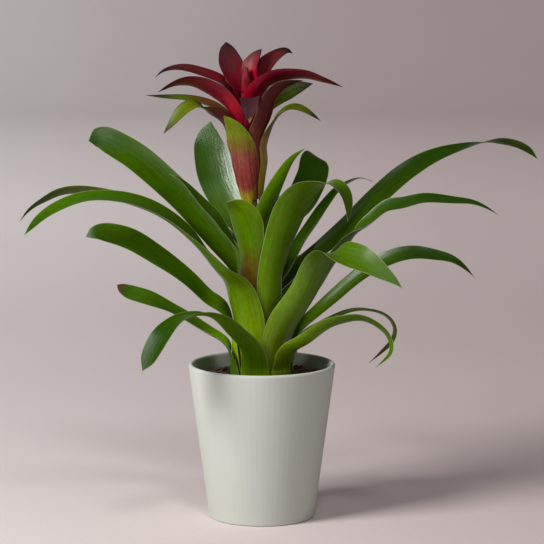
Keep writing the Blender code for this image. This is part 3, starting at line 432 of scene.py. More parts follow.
RED_PAINT = Paint(
    upper=stops("crimson 0, crimson 0.55, wine 0.7, maroon 0.9, black 0.985, black 1"),
    under=stops("pink 0, crimson 0.4, wine 0.65, maroon 0.9, black 0.985, black 1"),
    margin=PALETTE["black"], margin_width=0.8, dry=1.0, roughness=(0.26, 0.42), streaks=0.55, gloss=0.2)
GREEN_PAINT = like(
    RED_PAINT, upper="rust 0, rust 0.4, lime 0.58, moss 0.86, black 0.97, black 1",
    under="rust 0, wine 0.4, rust 0.58, moss 0.86, black 0.97, black 1")
TUBE = "gold 0, gold 0.06, pink 0.22, pink 0.4, brown 0.5, earth 0.62, lime 0.78, lime 1"
PLUM = "rust 0, wine 0.5, plum 0.68, plum 0.96, tan 1"
BRACT_PAINTS = {
    "bract_stalk_front": like(RED_PAINT, upper=TUBE, under=TUBE, margin=PALETTE["lime"], streaks=0.7),
    "bract_right_low": like(
        GREEN_PAINT, under="gold 0, gold 0.2, tan 0.45, moss 0.6, lime 0.75, moss 0.9, black 1",
        margin=PALETTE["tan"]),
    "bract_left_low": like(
        GREEN_PAINT, upper="rust 0, brown 0.56, lime 0.68, moss 0.9, black 1",
        under="rust 0, wine 0.3, maroon 0.56, moss 0.86, black 0.97, black 1"),
    "bract_left_green": like(GREEN_PAINT, upper="rust 0, rust 0.6, moss 0.76, fern 0.92, black 1"),
    "bract_left_top_red": like(
        RED_PAINT, upper="crimson 0, crimson 0.35, wine 0.55, maroon 0.72, black 0.96, black 1"),
    "bract_right_green": like(
        GREEN_PAINT, upper="rust 0, moss 0.45, fern 0.8, black 1",
        under="rust 0, moss 0.45, moss 0.8, black 1", gloss=0.07),
    "bract_front_brown": like(
        RED_PAINT, under="tan 0, brown 0.15, brown 0.42, maroon 0.55, maroon 0.8, black 0.97, black 1",
        margin=PALETTE["tan"], streaks=0.7),
    "bract_front_top_red": like(RED_PAINT, upper=PLUM, under=PLUM, margin=PALETTE["maroon"], gloss=0.05),
    "bract_upright_left_red": like(
        RED_PAINT, upper="crimson 0, crimson 0.6, wine 0.8, maroon 0.94, black 1", gloss=0.6,
        roughness=(0.30, 0.42)),
    "bract_right_top_red": like(RED_PAINT, gloss=0.1),
    "bract_upright_right_red": like(
        RED_PAINT, upper="crimson 0, crimson 0.7, wine 0.85, black 1", gloss=0.15),
}

# Grain: waves along each axis in one unit of length, the seed, and the noise's detail and roughness.
# Noise runs from 0 to 1, and the ranges hold most of it.
Grain = namedtuple("Grain", "waves seed detail roughness", defaults=(0.5,))
MOST = (0.3, 0.7)
WIDE = (0.25, 0.75)
SEED_SHIFT = (1.0, 1.7, 0.3)

# Grain of a blade in millimetres, across it and along it, and how strongly it shows
BLADE_BROAD = Grain((0.1, 0.03, 0), 0, 3)
BLADE_VEINS = Grain((1.25, 0.016, 0), 3, 4, 0.65)
BLADE_FINE = Grain((2.6, 0.05, 0), 7, 1)
BLADE_MOTTLE = Grain((0.3, 0.16, 0), 11, 3, 0.6)
COLOUR_SHIFT = 0.05
MOTTLE_LIGHT = 0.16
MOTTLE_HUE = (0.487, 0.509)
VEIN_SATURATION = (1.06, 0.98)
MARGIN_STRENGTH = 0.8
DRY_RAGGED = 0.02
DRY_BLEND = (0.015, 0.030)
VEIN_SHINE = 0.5
SHINE_RANGE = (0.45, 1.05)
FINE_RELIEF = 0.28
BROAD_RELIEF = 2.2
BLADE_BUMP = 0.00016
SMOOTH_BELOW = 60

# Colours, grain in metres, height of the bumps in metres and specular level of everything else
# Painted shade: the pot's colour darkens and warms from the rim to the foot
POT_HIGH = (0.575, 0.610, 0.562)
POT_SHADED_FOOT = (0.550, 0.580, 0.515)
POT_MOTTLE = (0.556, 0.590, 0.540)
POT_CLOUDS = Grain((28, 28, 22), 2, 3)
POT_TOOTH = Grain((900, 900, 900), 5, 2)
POT_WAVES = Grain((60, 60, 120), 8, 1)
POT_TOOTH_RELIEF = 0.12
POT_ROUGHNESS = (0.46, 0.58)
POT_BUMP = 0.00012
POT_SPECULAR = 0.4
CHIP_DARK = (0.016, 0.009, 0.005)
CHIP_LIGHT = (0.060, 0.028, 0.014)
CHIP_GRAIN = 160.0
BED_DARK = (0.012, 0.007, 0.004)
BED_LIGHT = (0.050, 0.024, 0.014)
BED_GRAIN = 220.0
BARK_FIBRE = (0.16, 0.075, 0.035)
BARK_PATCHES = Grain((1, 1, 1), 4, 4, 0.6)
BARK_FIBRES = Grain((2, 9, 6), 9, 3, 0.65)
FIBRE_RELIEF = 0.6
BARK_ROUGHNESS = (0.6, 0.95)
BARK_BUMP = 0.0012
BARK_SPECULAR = 0.3
STEM_GREEN = (0.20, 0.27, 0.02)
STEM_PALE = (0.30, 0.28, 0.06)
STEM_LINE = (0.12, 0.16, 0.01)
STEM_LINES = Grain((700, 700, 30), 3, 3)
STEM_PATCHES = Grain((60, 60, 40), 6, 3)
STEM_ROUGHNESS = (0.4, 0.6)
STEM_BUMP = 0.0003
BUD_LINES = Grain((900, 900, 160), 3, 3)
BUD_ROUGHNESS = (0.3, 0.45)
BUD_BUMP = 0.0001
BUD_SPECULAR = 0.08
PAPER_CLOUD = (0.2, 0.18, 0.18)
PAPER_TOOTH = Grain((300, 300, 300), 1, 2)
PAPER_CLOUDS = Grain((1.2, 1.2, 1.2), 2, 2)
PAPER_CLOUDED = 0.06
PAPER_ROUGHNESS = (0.85, 0.95)
PAPER_BUMP = 0.0002
PAPER_SPECULAR = 0.1
AIR_COLOUR = (1.0, 0.985, 0.97, 1)
CAMERA_REACH = 50

# Bark chips on the soil
CHIP_COUNT = 420
CHIP_POINTS = 13
CHIP_SIZE = (2.2, 6.5)
CHIP_FLATNESS = (0.35, 0.7)
CHIP_INNER = 34.0
CHIP_WALL_GAP = 1.2
CHIP_SINK = 0.25
CHIP_SEED = 11
CHIP_SMOOTH_BELOW = 38
CHIP_SHRINK = (0.6, 1.0)
CHIP_WIDTH = (0.45, 0.85)
CHIP_THICKNESS = 0.6
CHIP_LEAN = 0.35
CHIP_BLUNT = 0.7
CHIP_ROUGH = (0.8, 1.05)


def cubic(knots, at):
    """A smooth curve through the knots, (place, value or point), with no overshoot past a knot."""
    places = np.array([place for place, _ in knots], float)
    values = np.array([value for _, value in knots], float)
    flat = values.ndim == 1
    values = values.reshape(len(places), -1)
    slopes = np.diff(values, axis=0) / np.diff(places)[:, None]
    tangents = np.empty_like(values)
    tangents[0], tangents[-1] = slopes[0], slopes[-1]
    before, after = slopes[:-1], slopes[1:]
    agree = before * after > 0
    total = np.where(agree, before + after, 1.0)
    tangents[1:-1] = np.where(agree, 2 * before * after / total, 0.0)
    at = np.clip(np.atleast_1d(np.asarray(at, float)), places[0], places[-1])
    left = np.clip(np.searchsorted(places, at, side="right") - 1, 0, len(places) - 2)
    span = (places[left + 1] - places[left])[:, None]
    t = (at - places[left])[:, None] / span
    bends = (t ** 3 - 2 * t ** 2 + t) * tangents[left] + (t ** 3 - t ** 2) * tangents[left + 1]
    gone = 3 * t ** 2 - 2 * t ** 3
    result = (1 - gone) * values[left] + gone * values[left + 1] + span * bends
    return result[:, 0] if flat else result


def natural_curve(points, count):
    """Points at even steps of length along the natural cubic spline through the given points."""
    points = np.array(points, float)
    chord = np.sqrt(np.linalg.norm(np.diff(points, axis=0), axis=1))
    place = np.concatenate([[0.0], np.cumsum(chord)])
    steps = np.diff(place)
    size = len(points)
    matrix = np.eye(size)
    right = np.zeros((size, 3))
    for i in range(1, size - 1):
        matrix[i, i - 1:i + 2] = steps[i - 1], 2 * (steps[i - 1] + steps[i]), steps[i]
        right[i] = 6 * ((points[i + 1] - points[i]) / steps[i] - (points[i] - points[i - 1]) / steps[i - 1])
    bend = np.linalg.solve(matrix, right)

    def value(at):
        i = np.clip(np.searchsorted(place, at, side="right") - 1, 0, size - 2)
        h = steps[i][:, None]
        a = (place[i + 1] - at)[:, None] / h
        b = 1 - a
        bent = (a ** 3 - a) * bend[i] + (b ** 3 - b) * bend[i + 1]
        return a * points[i] + b * points[i + 1] + bent * h ** 2 / 6

    fine = value(np.linspace(0, place[-1], FINE_STEPS * count))
    length = np.concatenate([[0.0], np.cumsum(np.linalg.norm(np.diff(fine, axis=0), axis=1))])
    even = np.linspace(0, length[-1], count)
    return np.stack([np.interp(even, length, fine[:, axis]) for axis in range(3)], axis=1), length[-1]


def axis_at(height):
    """The plant's axis, as (x, y), at a height."""
    return cubic([(z, (x, y)) for x, y, z in AXIS], height)[0]


def leaf_ring(ring, height):
    return LEAF_RING_OUTER - LEAF_RING_STEP * (ring - 1) + LEAF_FLARE * (height - CROWN_SHOULDER)


def bract_ring(ring, height):
    return BRACT_RING_OUTER - BRACT_RING_STEP * (ring - 1) + cubic(BRACT_FUNNEL, height)


def stalk_radius(height):
    return float(np.interp(height, (CROWN_TOP, STALK_TOP), (STALK_RADIUS_LOW, STALK_RADIUS_HIGH)))


def leaf_foot(ring):
    """The height where a leaf's sheath starts: just above the crown's slope."""
    inner = leaf_ring(ring, CROWN_SHOULDER) - LEAF_FOOT_THICKNESS / 2
    slope = (CROWN_TOP - CROWN_SHOULDER) / (CROWN_RADIUS - STALK_RADIUS_LOW)
    return CROWN_SHOULDER + (CROWN_RADIUS - inner) * slope + 2 * GAP


def bract_foot(ring):
    """The height where a bract's sheath starts: where its ring clears the stalk."""
    clear = BRACT_FOOT_THICKNESS / 2 + 2 * GAP
    height = BRACT_LOWEST
    while bract_ring(ring, height)[0] < stalk_radius(height) + clear:
        height += FOOT_STEP
    return height


def ring_point(radius, azimuth, height):
    x, y = axis_at(height)
    angle = math.radians(azimuth)
    return x + radius * math.cos(angle), y + radius * math.sin(angle), height


def smoothstep(value):
    value = np.clip(value, 0, 1)
    return value * value * (3 - 2 * value)


def transported(path, across):
    """Tangents and across directions along a path, the across direction turning no more than it must."""
    tangents = np.gradient(path, axis=0)
    tangents /= np.linalg.norm(tangents, axis=1)[:, None]
    acrosses = np.empty_like(path)
    for i, tangent in enumerate(tangents):
        across = across - across.dot(tangent) * tangent
        across = across / np.linalg.norm(across)
        acrosses[i] = across
    return tangents, acrosses


def spread(path, count):
    """Indices of the stations: even along the path, and closer where it bends."""
    tangents = np.diff(path, axis=0)
    tangents /= np.linalg.norm(tangents, axis=1)[:, None]
    turn = np.arccos(np.clip((tangents[1:] * tangents[:-1]).sum(axis=1), -1, 1))
    step = np.linalg.norm(path[1] - path[0])
    cost = np.concatenate([[0.0], np.cumsum(step + BEND_WEIGHT * np.concatenate([[0.0], turn]))])
    places = np.interp(np.linspace(0, cost[-1], count), cost, np.arange(len(path)))
    return np.round(places).astype(int)


def wave_along(along, seed, wavelength):
    return np.array([noise.noise(Vector((value / wavelength, seed, 0.0))) for value in along])


def fine_blade(blade, ring_radius, foot, section, channel, grid, ripple, seed):
    """Points of the upper and the under side, and where each lies on the blade, for the material."""
    stations, strips = grid
    angle = math.radians(blade.azimuth)
    heights = np.linspace(foot, blade.leave, SHEATH_POINTS)
    sheath = [ring_point(float(np.ravel(ring_radius(blade.ring, height))[0]), blade.azimuth, height)
              for height in heights]
    path, length = natural_curve(sheath + list(blade.route), SAMPLES)
    tangents, acrosses = transported(path, np.array([math.sin(angle), -math.cos(angle), 0.0]))
    leave_share = np.argmin(np.abs(path[:, 2] - blade.leave)[: SAMPLES // 2]) / (SAMPLES - 1)
    chosen = spread(path, stations)
    share = chosen / (SAMPLES - 1)
    path, tangents, acrosses = path[chosen], tangents[chosen], acrosses[chosen]
    free = [knot for knot in blade.widths if knot[0] > leave_share * SHEATH_KNOTS]
    half_width = np.maximum(cubic([(0.0, blade.sheath), *free, (1.0, 0.0)], share), POINT_HALF_WIDTH)
    wrapped = half_width / np.ravel(ring_radius(blade.ring, np.minimum(path[:, 2], blade.leave)))
    freed = smoothstep((share - leave_share) / OPENING_SHARE)
    curl = wrapped * (1 - freed) + np.radians(cubic(channel, share)) * freed
    turn = np.radians(cubic([(0, 0), *blade.twist], share))[:, None]
    inward = np.cross(acrosses, tangents)
    across = acrosses * np.cos(turn) + inward * np.sin(turn)
    inward = np.cross(across, tangents)
    side = np.sin(np.linspace(-1, 1, strips + 1) * math.pi / 2)
    bow = curl[:, None] * side[None, :]
    radius = (half_width / curl)[:, None, None]
    middle = path[:, None] + radius * (
        across[:, None] * np.sin(bow)[..., None] + inward[:, None] * (1 - np.cos(bow))[..., None])
    normal = inward[:, None] * np.cos(bow)[..., None] - across[:, None] * np.sin(bow)[..., None]
    height, wavelength = ripple
    waves = np.stack([wave_along(share * length, seed + one, wavelength) for one in RIPPLE_SEEDS], axis=1)
    rise = np.where(side < 0, waves[:, :1], waves[:, 1:]) * np.abs(side) ** RIPPLE_EDGE * height
    rise *= (freed * smoothstep(half_width / RIPPLE_HALF_WIDTH))[:, None]
    middle = middle + normal * rise[..., None]
    thick = cubic(section, share)[:, None] * np.sqrt(np.maximum(1 - side ** 2, 0))[None, :]
    half = np.maximum(thick, MARGIN_THICKNESS)[..., None] / 2
    shape = bow.shape
    across_mm = half_width[:, None] * side[None, :]
    along_mm = np.broadcast_to((share * length)[:, None], shape)
    margin_mm = half_width[:, None] * (1 - np.abs(side))[None, :]
    on_blade = np.stack([across_mm, along_mm, margin_mm], axis=-1)
    at = np.stack([np.broadcast_to(side, shape), np.broadcast_to(share[:, None], shape)], axis=-1)
    return middle + normal * half, middle - normal * half, on_blade, at


def blade_faces(rows, columns):
    """Faces of the closed solid between two grids of points."""
    count = rows * columns
    grid = np.arange(count).reshape(rows, columns)
    quads = np.stack([grid[:-1, :-1], grid[:-1, 1:], grid[1:, 1:], grid[1:, :-1]], axis=-1).reshape(-1, 4)
    rim = np.concatenate([grid[0], grid[1:, -1], grid[-1, -2::-1], grid[-2:0:-1, 0]])
    after = np.roll(rim, -1)
    edge = np.stack([rim, rim + count, after + count, after], axis=-1)
    return np.concatenate([quads, quads[:, ::-1] + count, edge]).tolist()


def add(name, data):
    """A new object in the scene."""
    made = bpy.data.objects.new(name, data)
    bpy.context.scene.collection.objects.link(made)
    return made


def add_mesh(name, points, faces, material):
    mesh = bpy.data.meshes.new(name)
    mesh.from_pydata(points, [], faces)
    mesh.materials.append(material)
    mesh.shade_smooth()
    return add(name, mesh)


def made_piece(name, points, faces, material, slot, smooth_below, replaced=None):
    """A mesh piece that rides on the pot, with points in millimetres."""
    piece = add_mesh(name, (np.asarray(points) * MM).tolist(), faces, material)
    piece.data.set_sharp_from_angle(angle=math.radians(smooth_below))
    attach(piece, BODY)
    if replaced:
        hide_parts(replaced)
    return piece


def store(mesh, name, vectors):
    attribute = mesh.attributes.new(name, "FLOAT_VECTOR", "POINT")
    attribute.data.foreach_set("vector", np.asarray(vectors, np.float32).ravel())


def put(tree, kind, inputs=(), **settings):
    """Adds a node, with its settings and its inputs as values or as sockets to join."""
    node = tree.nodes.new(kind)
    for key, value in settings.items():
        setattr(node, key, value)
    for key, value in dict(inputs).items():
        if isinstance(value, bpy.types.NodeSocket):
            tree.links.new(value, node.inputs[key])
        else:
            node.inputs[key].default_value = value
    return node


def maths(tree, operation, first, second):
    return put(tree, "ShaderNodeMath", {0: first, 1: second}, operation=operation).outputs[0]


def mapped(tree, value, low, high, to_low=0.0, to_high=1.0, smooth=False):
    kind = "SMOOTHSTEP" if smooth else "LINEAR"
    inputs = {"Value": value, "From Min": low, "From Max": high, "To Min": to_low, "To Max": to_high}
    return put(tree, "ShaderNodeMapRange", inputs, interpolation_type=kind, clamp=True).outputs[0]


def mixed(tree, factor, first, second):
    """One colour mixed into another. Colours are sockets or (red, green, blue)."""
    first, second = (colour if isinstance(colour, bpy.types.NodeSocket) else (*colour, 1)
                     for colour in (first, second))
    return put(tree, "ShaderNodeMix", {0: factor, 6: first, 7: second}, data_type="RGBA").outputs[2]


def ramp(tree, factor, marks):
    """A colour ramp through stops, which are pairs of a place and a colour."""
    node = put(tree, "ShaderNodeValToRGB", {"Fac": factor})
    node.color_ramp.interpolation = "EASE"
    elements = node.color_ramp.elements
    while len(elements) < len(marks):
        elements.new(1.0)
    for element, (place, colour) in zip(elements, marks):
        element.position = place
        element.color = (*colour, 1)
    return node.outputs[0]


def grain(tree, vector, look, shift=0.0, times=1.0):
    """Noise of a vector, moved by a shift of its seed, with all its waves multiplied."""
    place = put(tree, "ShaderNodeMapping", {
        "Vector": vector,
        "Location": [(look.seed + shift) * part for part in SEED_SHIFT],
        "Scale": [times * wave for wave in look.waves],
    }, vector_type="POINT").outputs[0]
    inputs = {"Vector": place, "Scale": 1.0, "Detail": look.detail, "Roughness": look.roughness}
    return put(tree, "ShaderNodeTexNoise", inputs).outputs[0]


def new_material(name):
    material = bpy.data.materials.new(name)
    material.use_nodes = True
    material.node_tree.nodes.clear()
    return material, material.node_tree


def finished(material, colour, roughness, height, distance, specular=0.5):
    """The material with a Principled shader, whose bumps are this high in metres."""
    tree = material.node_tree
    bump = put(tree, "ShaderNodeBump", {"Height": height, "Distance": distance, "Strength": 1.0})
    shader = put(tree, "ShaderNodeBsdfPrincipled",
                 {"Base Color": colour, "Roughness": roughness, "Normal": bump.outputs[0]})
    shader.inputs["Specular IOR Level"].default_value = specular
    out = tree.nodes.new("ShaderNodeOutputMaterial")
    tree.links.new(shader.outputs[0], out.inputs[0])
    return material


def with_parts(tree, vector):
    """A vector and its three parts."""
    return vector, put(tree, "ShaderNodeSeparateXYZ", {0: vector}).outputs


def attribute_parts(tree, name):
    return with_parts(tree, put(tree, "ShaderNodeAttribute", attribute_name=name).outputs["Vector"])


def object_material(name):
    """A new material, its tree, the place on the object in metres, and that place's three parts."""
    material, tree = new_material(name)
    return material, tree, *with_parts(tree, put(tree, "ShaderNodeTexCoord").outputs["Object"])


def blade_material(name, paint, seed):
    """A leaf or bract: colour along its length on both faces, veins, margins, a dried tip and gloss."""
    material, tree = new_material(name)
    on_blade, millimetres = attribute_parts(tree, "blade_mm")
    at = attribute_parts(tree, "blade_at")[1]
    along, face = at[1], at[2]
    broad = grain(tree, on_blade, BLADE_BROAD, seed)
    shifted = maths(tree, "ADD", along, mapped(tree, broad, *WIDE, -COLOUR_SHIFT, COLOUR_SHIFT))
    colour = mixed(tree, face, ramp(tree, shifted, paint.under), ramp(tree, shifted, paint.upper))
    veins = grain(tree, on_blade, BLADE_VEINS, seed)
    fine = grain(tree, on_blade, BLADE_FINE, seed)
    mottle = grain(tree, on_blade, BLADE_MOTTLE, seed)
    streaks = mapped(tree, veins, *WIDE, 1 - paint.streaks, 1 + paint.streaks)
    light = maths(tree, "ADD", streaks, mapped(tree, mottle, *MOST, -MOTTLE_LIGHT, MOTTLE_LIGHT))
    shaded = put(tree, "ShaderNodeHueSaturation", {
        "Color": colour,
        "Hue": mapped(tree, mottle, *MOST, *MOTTLE_HUE),
        "Saturation": mapped(tree, veins, 0.3, 0.75, *VEIN_SATURATION),
        "Value": light,
    }).outputs[0]
    # The margin band: black on the bracts; on the leaves pale, partly the leaf's own edge and partly a
    # painted highlight
    rim = mapped(tree, millimetres[2], 0.0, paint.margin_width, MARGIN_STRENGTH, 0.0)
    colour = mixed(tree, rim, shaded, paint.margin)
    if paint.dry < 1:
        ragged = maths(tree, "ADD", along, mapped(tree, fine, 0.2, 0.8, -DRY_RAGGED, DRY_RAGGED))
        before, after = DRY_BLEND
        dried = mapped(tree, ragged, paint.dry - before, paint.dry + after, smooth=True)
        colour = mixed(tree, dried, colour, PALETTE["dry"])
    shine = maths(tree, "ADD", broad, maths(tree, "MULTIPLY", veins, VEIN_SHINE))
    roughness = mapped(tree, shine, *SHINE_RANGE, *paint.roughness)
    height = maths(tree, "ADD", veins, maths(tree, "MULTIPLY", fine, FINE_RELIEF))
    height = maths(tree, "ADD", height, maths(tree, "MULTIPLY", broad, BROAD_RELIEF))
    return finished(material, colour, roughness, height, BLADE_BUMP, paint.gloss)


def pot_material():
    """Matte glazed pot: a faint mottle, a fine tooth, and painted shade that makes it a little darker and
    warmer towards the foot.
    """
    material, tree, place, parts = object_material("pot_ceramic")
    cloudy = grain(tree, place, POT_CLOUDS)
    tooth = grain(tree, place, POT_TOOTH)
    waves = grain(tree, place, POT_WAVES)
    # painted shade: darker and warmer towards the foot
    wall = mixed(tree, mapped(tree, parts[2], 0.0, POT_HEIGHT * MM, 1.0, 0.0), POT_HIGH, POT_SHADED_FOOT)
    colour = mixed(tree, mapped(tree, cloudy, *MOST, 0.0, 0.5), wall, POT_MOTTLE)
    roughness = mapped(tree, cloudy, *MOST, *POT_ROUGHNESS)
    relief = maths(tree, "ADD", maths(tree, "MULTIPLY", tooth, POT_TOOTH_RELIEF), waves)
    return finished(material, colour, roughness, relief, POT_BUMP, POT_SPECULAR)


def bark_material(name, dark, light, scale):
    """Damp composted bark: brown to near black, fibrous and rough."""
    material, tree, place, _ = object_material(name)
    patches = grain(tree, place, BARK_PATCHES, times=scale)
    fibres = grain(tree, place, BARK_FIBRES, times=scale)
    colour = mixed(tree, mapped(tree, patches, 0.35, 0.68), dark, light)
    colour = mixed(tree, mapped(tree, fibres, 0.5, 0.8, 0.0, 0.6), colour, BARK_FIBRE)
    height = maths(tree, "ADD", patches, maths(tree, "MULTIPLY", fibres, FIBRE_RELIEF))
    roughness = mapped(tree, fibres, *MOST, *BARK_ROUGHNESS)
    return finished(material, colour, roughness, height, BARK_BUMP, BARK_SPECULAR)


def stem_material():
    """The crown and the stalk: pale green with fine lines along them, and crimson inside the head."""
    material, tree, place, parts = object_material("stem_flesh")
    lines = grain(tree, place, STEM_LINES)
    patches = grain(tree, place, STEM_PATCHES)
    colour = mixed(tree, mapped(tree, patches, 0.35, 0.65), STEM_GREEN, STEM_PALE)
    colour = mixed(tree, mapped(tree, lines, 0.4, 0.7, 0.0, 0.5), colour, STEM_LINE)
    red = mapped(tree, parts[2], STALK_RED_FROM * MM, STALK_TOP * MM, smooth=True)
    colour = mixed(tree, red, colour, PALETTE["crimson"])
    return finished(material, colour, mapped(tree, lines, *MOST, *STEM_ROUGHNESS), lines, STEM_BUMP)


def bud_material():
    """The tight red heart of the flower head, with creases between its small bracts."""
    material, tree, place, parts = object_material("bud_red")
    lines = grain(tree, place, BUD_LINES)
    top = mapped(tree, parts[2], CONE_FOOT * MM, (CONE_FOOT + CONE_HEIGHT) * MM)
    colour = ramp(tree, top, stops("crimson 0, wine 0.5, wine 1"))
    colour = mixed(tree, mapped(tree, lines, 0.45, 0.75, 0.0, 0.5), colour, PALETTE["wine"])
    roughness = mapped(tree, lines, *MOST, *BUD_ROUGHNESS)
    return finished(material, colour, roughness, lines, BUD_BUMP, BUD_SPECULAR)


def backdrop_material():
    """Matte paper with painted light: its colour is lighter on the left, where the main light stands."""
    material, tree, place, parts = object_material("studio_paper")
    tooth = grain(tree, place, PAPER_TOOTH)
    clouds = grain(tree, place, PAPER_CLOUDS)
    # painted light: the paper's colour is lighter towards the left
    painted_falloff = mapped(tree, parts[0], *BACKDROP_PAINTED_FALLOFF, smooth=True)
    colour = mixed(tree, painted_falloff, BACKDROP_LIT, BACKDROP_DIM)
    colour = mixed(tree, mapped(tree, clouds, *MOST, 0.0, PAPER_CLOUDED), colour, PAPER_CLOUD)
    roughness = mapped(tree, tooth, *MOST, *PAPER_ROUGHNESS)
    return finished(material, colour, roughness, tooth, PAPER_BUMP, PAPER_SPECULAR)


def make_blades(blades, ring_radius, foot, section, channel, grid, ripple, paint_of, slot_of):
    for number, blade in enumerate(blades):
        seed = FIRST_SEED + SEED_STEP * number
        upper, under, on_blade, at = fine_blade(
            blade, ring_radius, foot(blade.ring), section, channel, grid, ripple, seed)
        rows, columns = upper.shape[:2]
        points = np.concatenate([upper.reshape(-1, 3), under.reshape(-1, 3)])
        material = blade_material("skin_" + blade.name, paint_of(blade), seed)
        piece = made_piece("fine_" + blade.name, points, blade_faces(rows, columns), material,
                           slot_of(blade), SMOOTH_BELOW, blade.name)
        store(piece.data, "blade_mm", np.concatenate([on_blade.reshape(-1, 3)] * 2))
        flat = at.reshape(-1, 2)
        faces = [np.column_stack([flat, np.full(len(flat), value)]) for value in (1.0, 0.0)]
        store(piece.data, "blade_at", np.concatenate(faces))


def make_bud():
    """The inner bud with its lobes, finer than the solid that it stands for."""
    angle = 2 * math.pi * np.arange(BUD_SIDES) / BUD_SIDES
    rings = []
    for share in np.linspace(0, 1, BUD_RINGS + 1):
        height = CONE_FOOT + share * CONE_HEIGHT
        x, y = axis_at(height)
        lobes = CONE_LOBES * angle + CONE_WIND * share
        plain = CONE_TIP_RADIUS + CONE_RADIUS * math.cos(share * math.pi / 2) ** CONE_FULLNESS
        radius = plain * (1 + CONE_LOBE * share * np.cos(lobes))
        radius *= 1 - BUD_CREASE * (1 + np.abs(np.sin(lobes / 2)))
        rings += zip(x + radius * np.cos(angle), y + radius * np.sin(angle), [height] * BUD_SIDES)
    x, y = axis_at(CONE_FOOT)
    ends = [(x, y, CONE_FOOT), (x, y, CONE_FOOT + CONE_HEIGHT + CONE_TIP_RADIUS)]
    low, top = len(rings), len(rings) + 1
    grid = np.arange(low).reshape(-1, BUD_SIDES)
    after = np.roll(grid, -1, axis=1)
    faces = np.stack([grid[:-1], after[:-1], after[1:], grid[1:]], axis=-1).reshape(-1, 4).tolist()
    faces += [(low, second, first) for first, second in zip(grid[0].tolist(), after[0].tolist())]
    faces += [(top, first, second) for first, second in zip(grid[-1].tolist(), after[-1].tolist())]
    made_piece("flower_bud", rings + ends, faces, bud_material(), "bract_red", SMOOTH_BELOW, "flower_cone")


def soil_height(radius, inside):
    """The soil's top under a point, by the same rise from the wall to the plant as in the source."""
    share = np.clip((inside - radius) / (inside - CROWN_RADIUS - GAP), 0, 1)
    drop = SOIL_EDGE_DROP + (SOIL_MIDDLE_DROP - SOIL_EDGE_DROP) * math.sin(share * math.pi / 2)
    return POT_HEIGHT - drop


def turned(first, second, angle):
    """Two coordinates turned by an angle in their plane."""
    cos, sin = math.cos(angle), math.sin(angle)
    return first * cos - second * sin, first * sin + second * cos


def make_chips():
    """Loose bark chips on the soil, each a small many-sided lump lying at its own angle."""
    random = np.random.default_rng(CHIP_SEED)
    edge_height = POT_HEIGHT - SOIL_EDGE_DROP
    wall = POT_FOOT_RADIUS + (POT_RIM_RADIUS - POT_FOOT_RADIUS) * edge_height / POT_HEIGHT - POT_WALL
    made = bmesh.new()
    for _ in range(CHIP_COUNT):
        long = random.uniform(*CHIP_SIZE) * random.uniform(*CHIP_SHRINK)
        wide = long * random.uniform(*CHIP_WIDTH)
        thick = long * random.uniform(*CHIP_FLATNESS) * CHIP_THICKNESS
        outer = wall - CHIP_WALL_GAP - long
        radius = math.sqrt(random.uniform(CHIP_INNER ** 2, outer ** 2))
        angle, turn = random.uniform(0, 2 * math.pi), random.uniform(0, 2 * math.pi)
        tilt, roll = random.normal(0, CHIP_LEAN), random.normal(0, CHIP_LEAN)
        directions = random.normal(size=(CHIP_POINTS, 3))
        directions /= np.linalg.norm(directions, axis=1)[:, None]
        directions = np.sign(directions) * np.abs(directions) ** CHIP_BLUNT
        points = directions * (long, wide, thick)
        points *= random.uniform(*CHIP_ROUGH, size=(CHIP_POINTS, 1))
        x, y, z = points.T
        x, z = turned(x, z, tilt)
        y, z = turned(y, z, roll)
        x, y = turned(x, y, turn)
        x += radius * math.cos(angle)
        y += radius * math.sin(angle)
        z += soil_height(radius, wall) + thick * CHIP_SINK
        corners = [made.verts.new(point) for point in zip(x, y, z)]
        hull = bmesh.ops.convex_hull(made, input=corners)
        loose = {item for item in hull["geom_interior"] if isinstance(item, bmesh.types.BMVert)}
        bmesh.ops.delete(made, geom=[corner for corner in loose if corner.is_valid], context="VERTS")
    bmesh.ops.recalc_face_normals(made, faces=made.faces)
    made.verts.index_update()
    points = [tuple(vertex.co) for vertex in made.verts]
    faces = [[vertex.index for vertex in face.verts] for face in made.faces]
    made.free()
    bark = bark_material("bark_chip", CHIP_DARK, CHIP_LIGHT, CHIP_GRAIN)
    made_piece("bark_chips", points, faces, bark, "bark_mix", CHIP_SMOOTH_BELOW)


def give(node, material):
    """Puts a material on every slot of a CAD node."""
    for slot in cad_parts[node].material_slots:
        slot.link = "OBJECT"
        slot.material = material


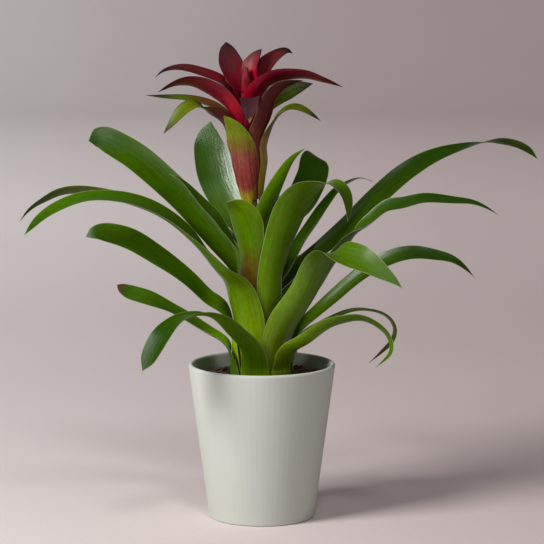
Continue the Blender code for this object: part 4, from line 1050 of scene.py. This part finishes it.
def make_studio():
    """The floor that bends up into a wall, the lights and the air."""
    bend = [(BACKDROP_FAR + BACKDROP_BEND * math.sin(a), BACKDROP_BEND * (1 - math.cos(a)))
            for a in np.linspace(0, math.pi / 2, BACKDROP_STEPS)]
    profile = [(BACKDROP_NEAR, 0.0)] + bend + [(BACKDROP_FAR + BACKDROP_BEND, BACKDROP_TOP)]
    points = [(x, y, z) for y, z in profile for x in (-BACKDROP_HALF_WIDTH, BACKDROP_HALF_WIDTH)]
    faces = [(2 * i, 2 * i + 1, 2 * i + 3, 2 * i + 2) for i in range(len(profile) - 1)]
    add_mesh("studio_floor", points, faces, backdrop_material())
    for light in LIGHTS:
        data = bpy.data.lights.new(light.name, "AREA")
        data.shape = "RECTANGLE"
        data.size, data.size_y = light.width, light.height
        data.energy = light.power
        data.color = light.colour
        lamp = add(light.name, data)
        turn, rise = math.radians(light.azimuth), math.radians(light.elevation)
        towards = Vector((math.sin(turn) * math.cos(rise), -math.cos(turn) * math.cos(rise), math.sin(rise)))
        lamp.location = Vector(light.aim) + towards * light.distance
        lamp.rotation_euler = (-towards).to_track_quat("-Z", "Y").to_euler()
    world = bpy.data.worlds.new("studio_air")
    world.use_nodes = True
    background = world.node_tree.nodes["Background"]
    background.inputs["Color"].default_value = AIR_COLOUR
    background.inputs["Strength"].default_value = AMBIENT
    bpy.context.scene.world = world


def make_camera():
    data = bpy.data.cameras.new("camera")
    data.sensor_fit = "HORIZONTAL"
    data.sensor_width = SENSOR
    data.lens = LENS
    data.clip_end = CAMERA_REACH
    camera = add("camera", data)
    down = math.radians(CAMERA_DOWN)
    forward = Vector((0, math.cos(down), -math.sin(down)))
    camera.location = Vector(CAMERA_LOOK_AT) - forward * CAMERA_DISTANCE
    camera.rotation_euler = (math.pi / 2 - down, 0, 0)
    bpy.context.scene.camera = camera


make_camera()
make_studio()
bpy.context.scene.view_settings.view_transform = "Standard"
give("pot", pot_material())
give("soil", bark_material("bark_bed", BED_DARK, BED_LIGHT, BED_GRAIN))
give("stem", stem_material())
make_blades(LEAVES, leaf_ring, leaf_foot, LEAF_SECTION, LEAF_CHANNEL, LEAF_GRID, LEAF_RIPPLE,
            lambda blade: LEAF_PAINTS.get(blade.name, LEAF_PAINT), lambda blade: "leaf_green")
make_blades(BRACTS, bract_ring, bract_foot, BRACT_SECTION, BRACT_CHANNEL, BRACT_GRID, BRACT_RIPPLE,
            lambda blade: BRACT_PAINTS.get(blade.name, RED_PAINT),
            lambda blade: "bract_red" if "red" in blade.name else "bract_green")
make_bud()
make_chips()
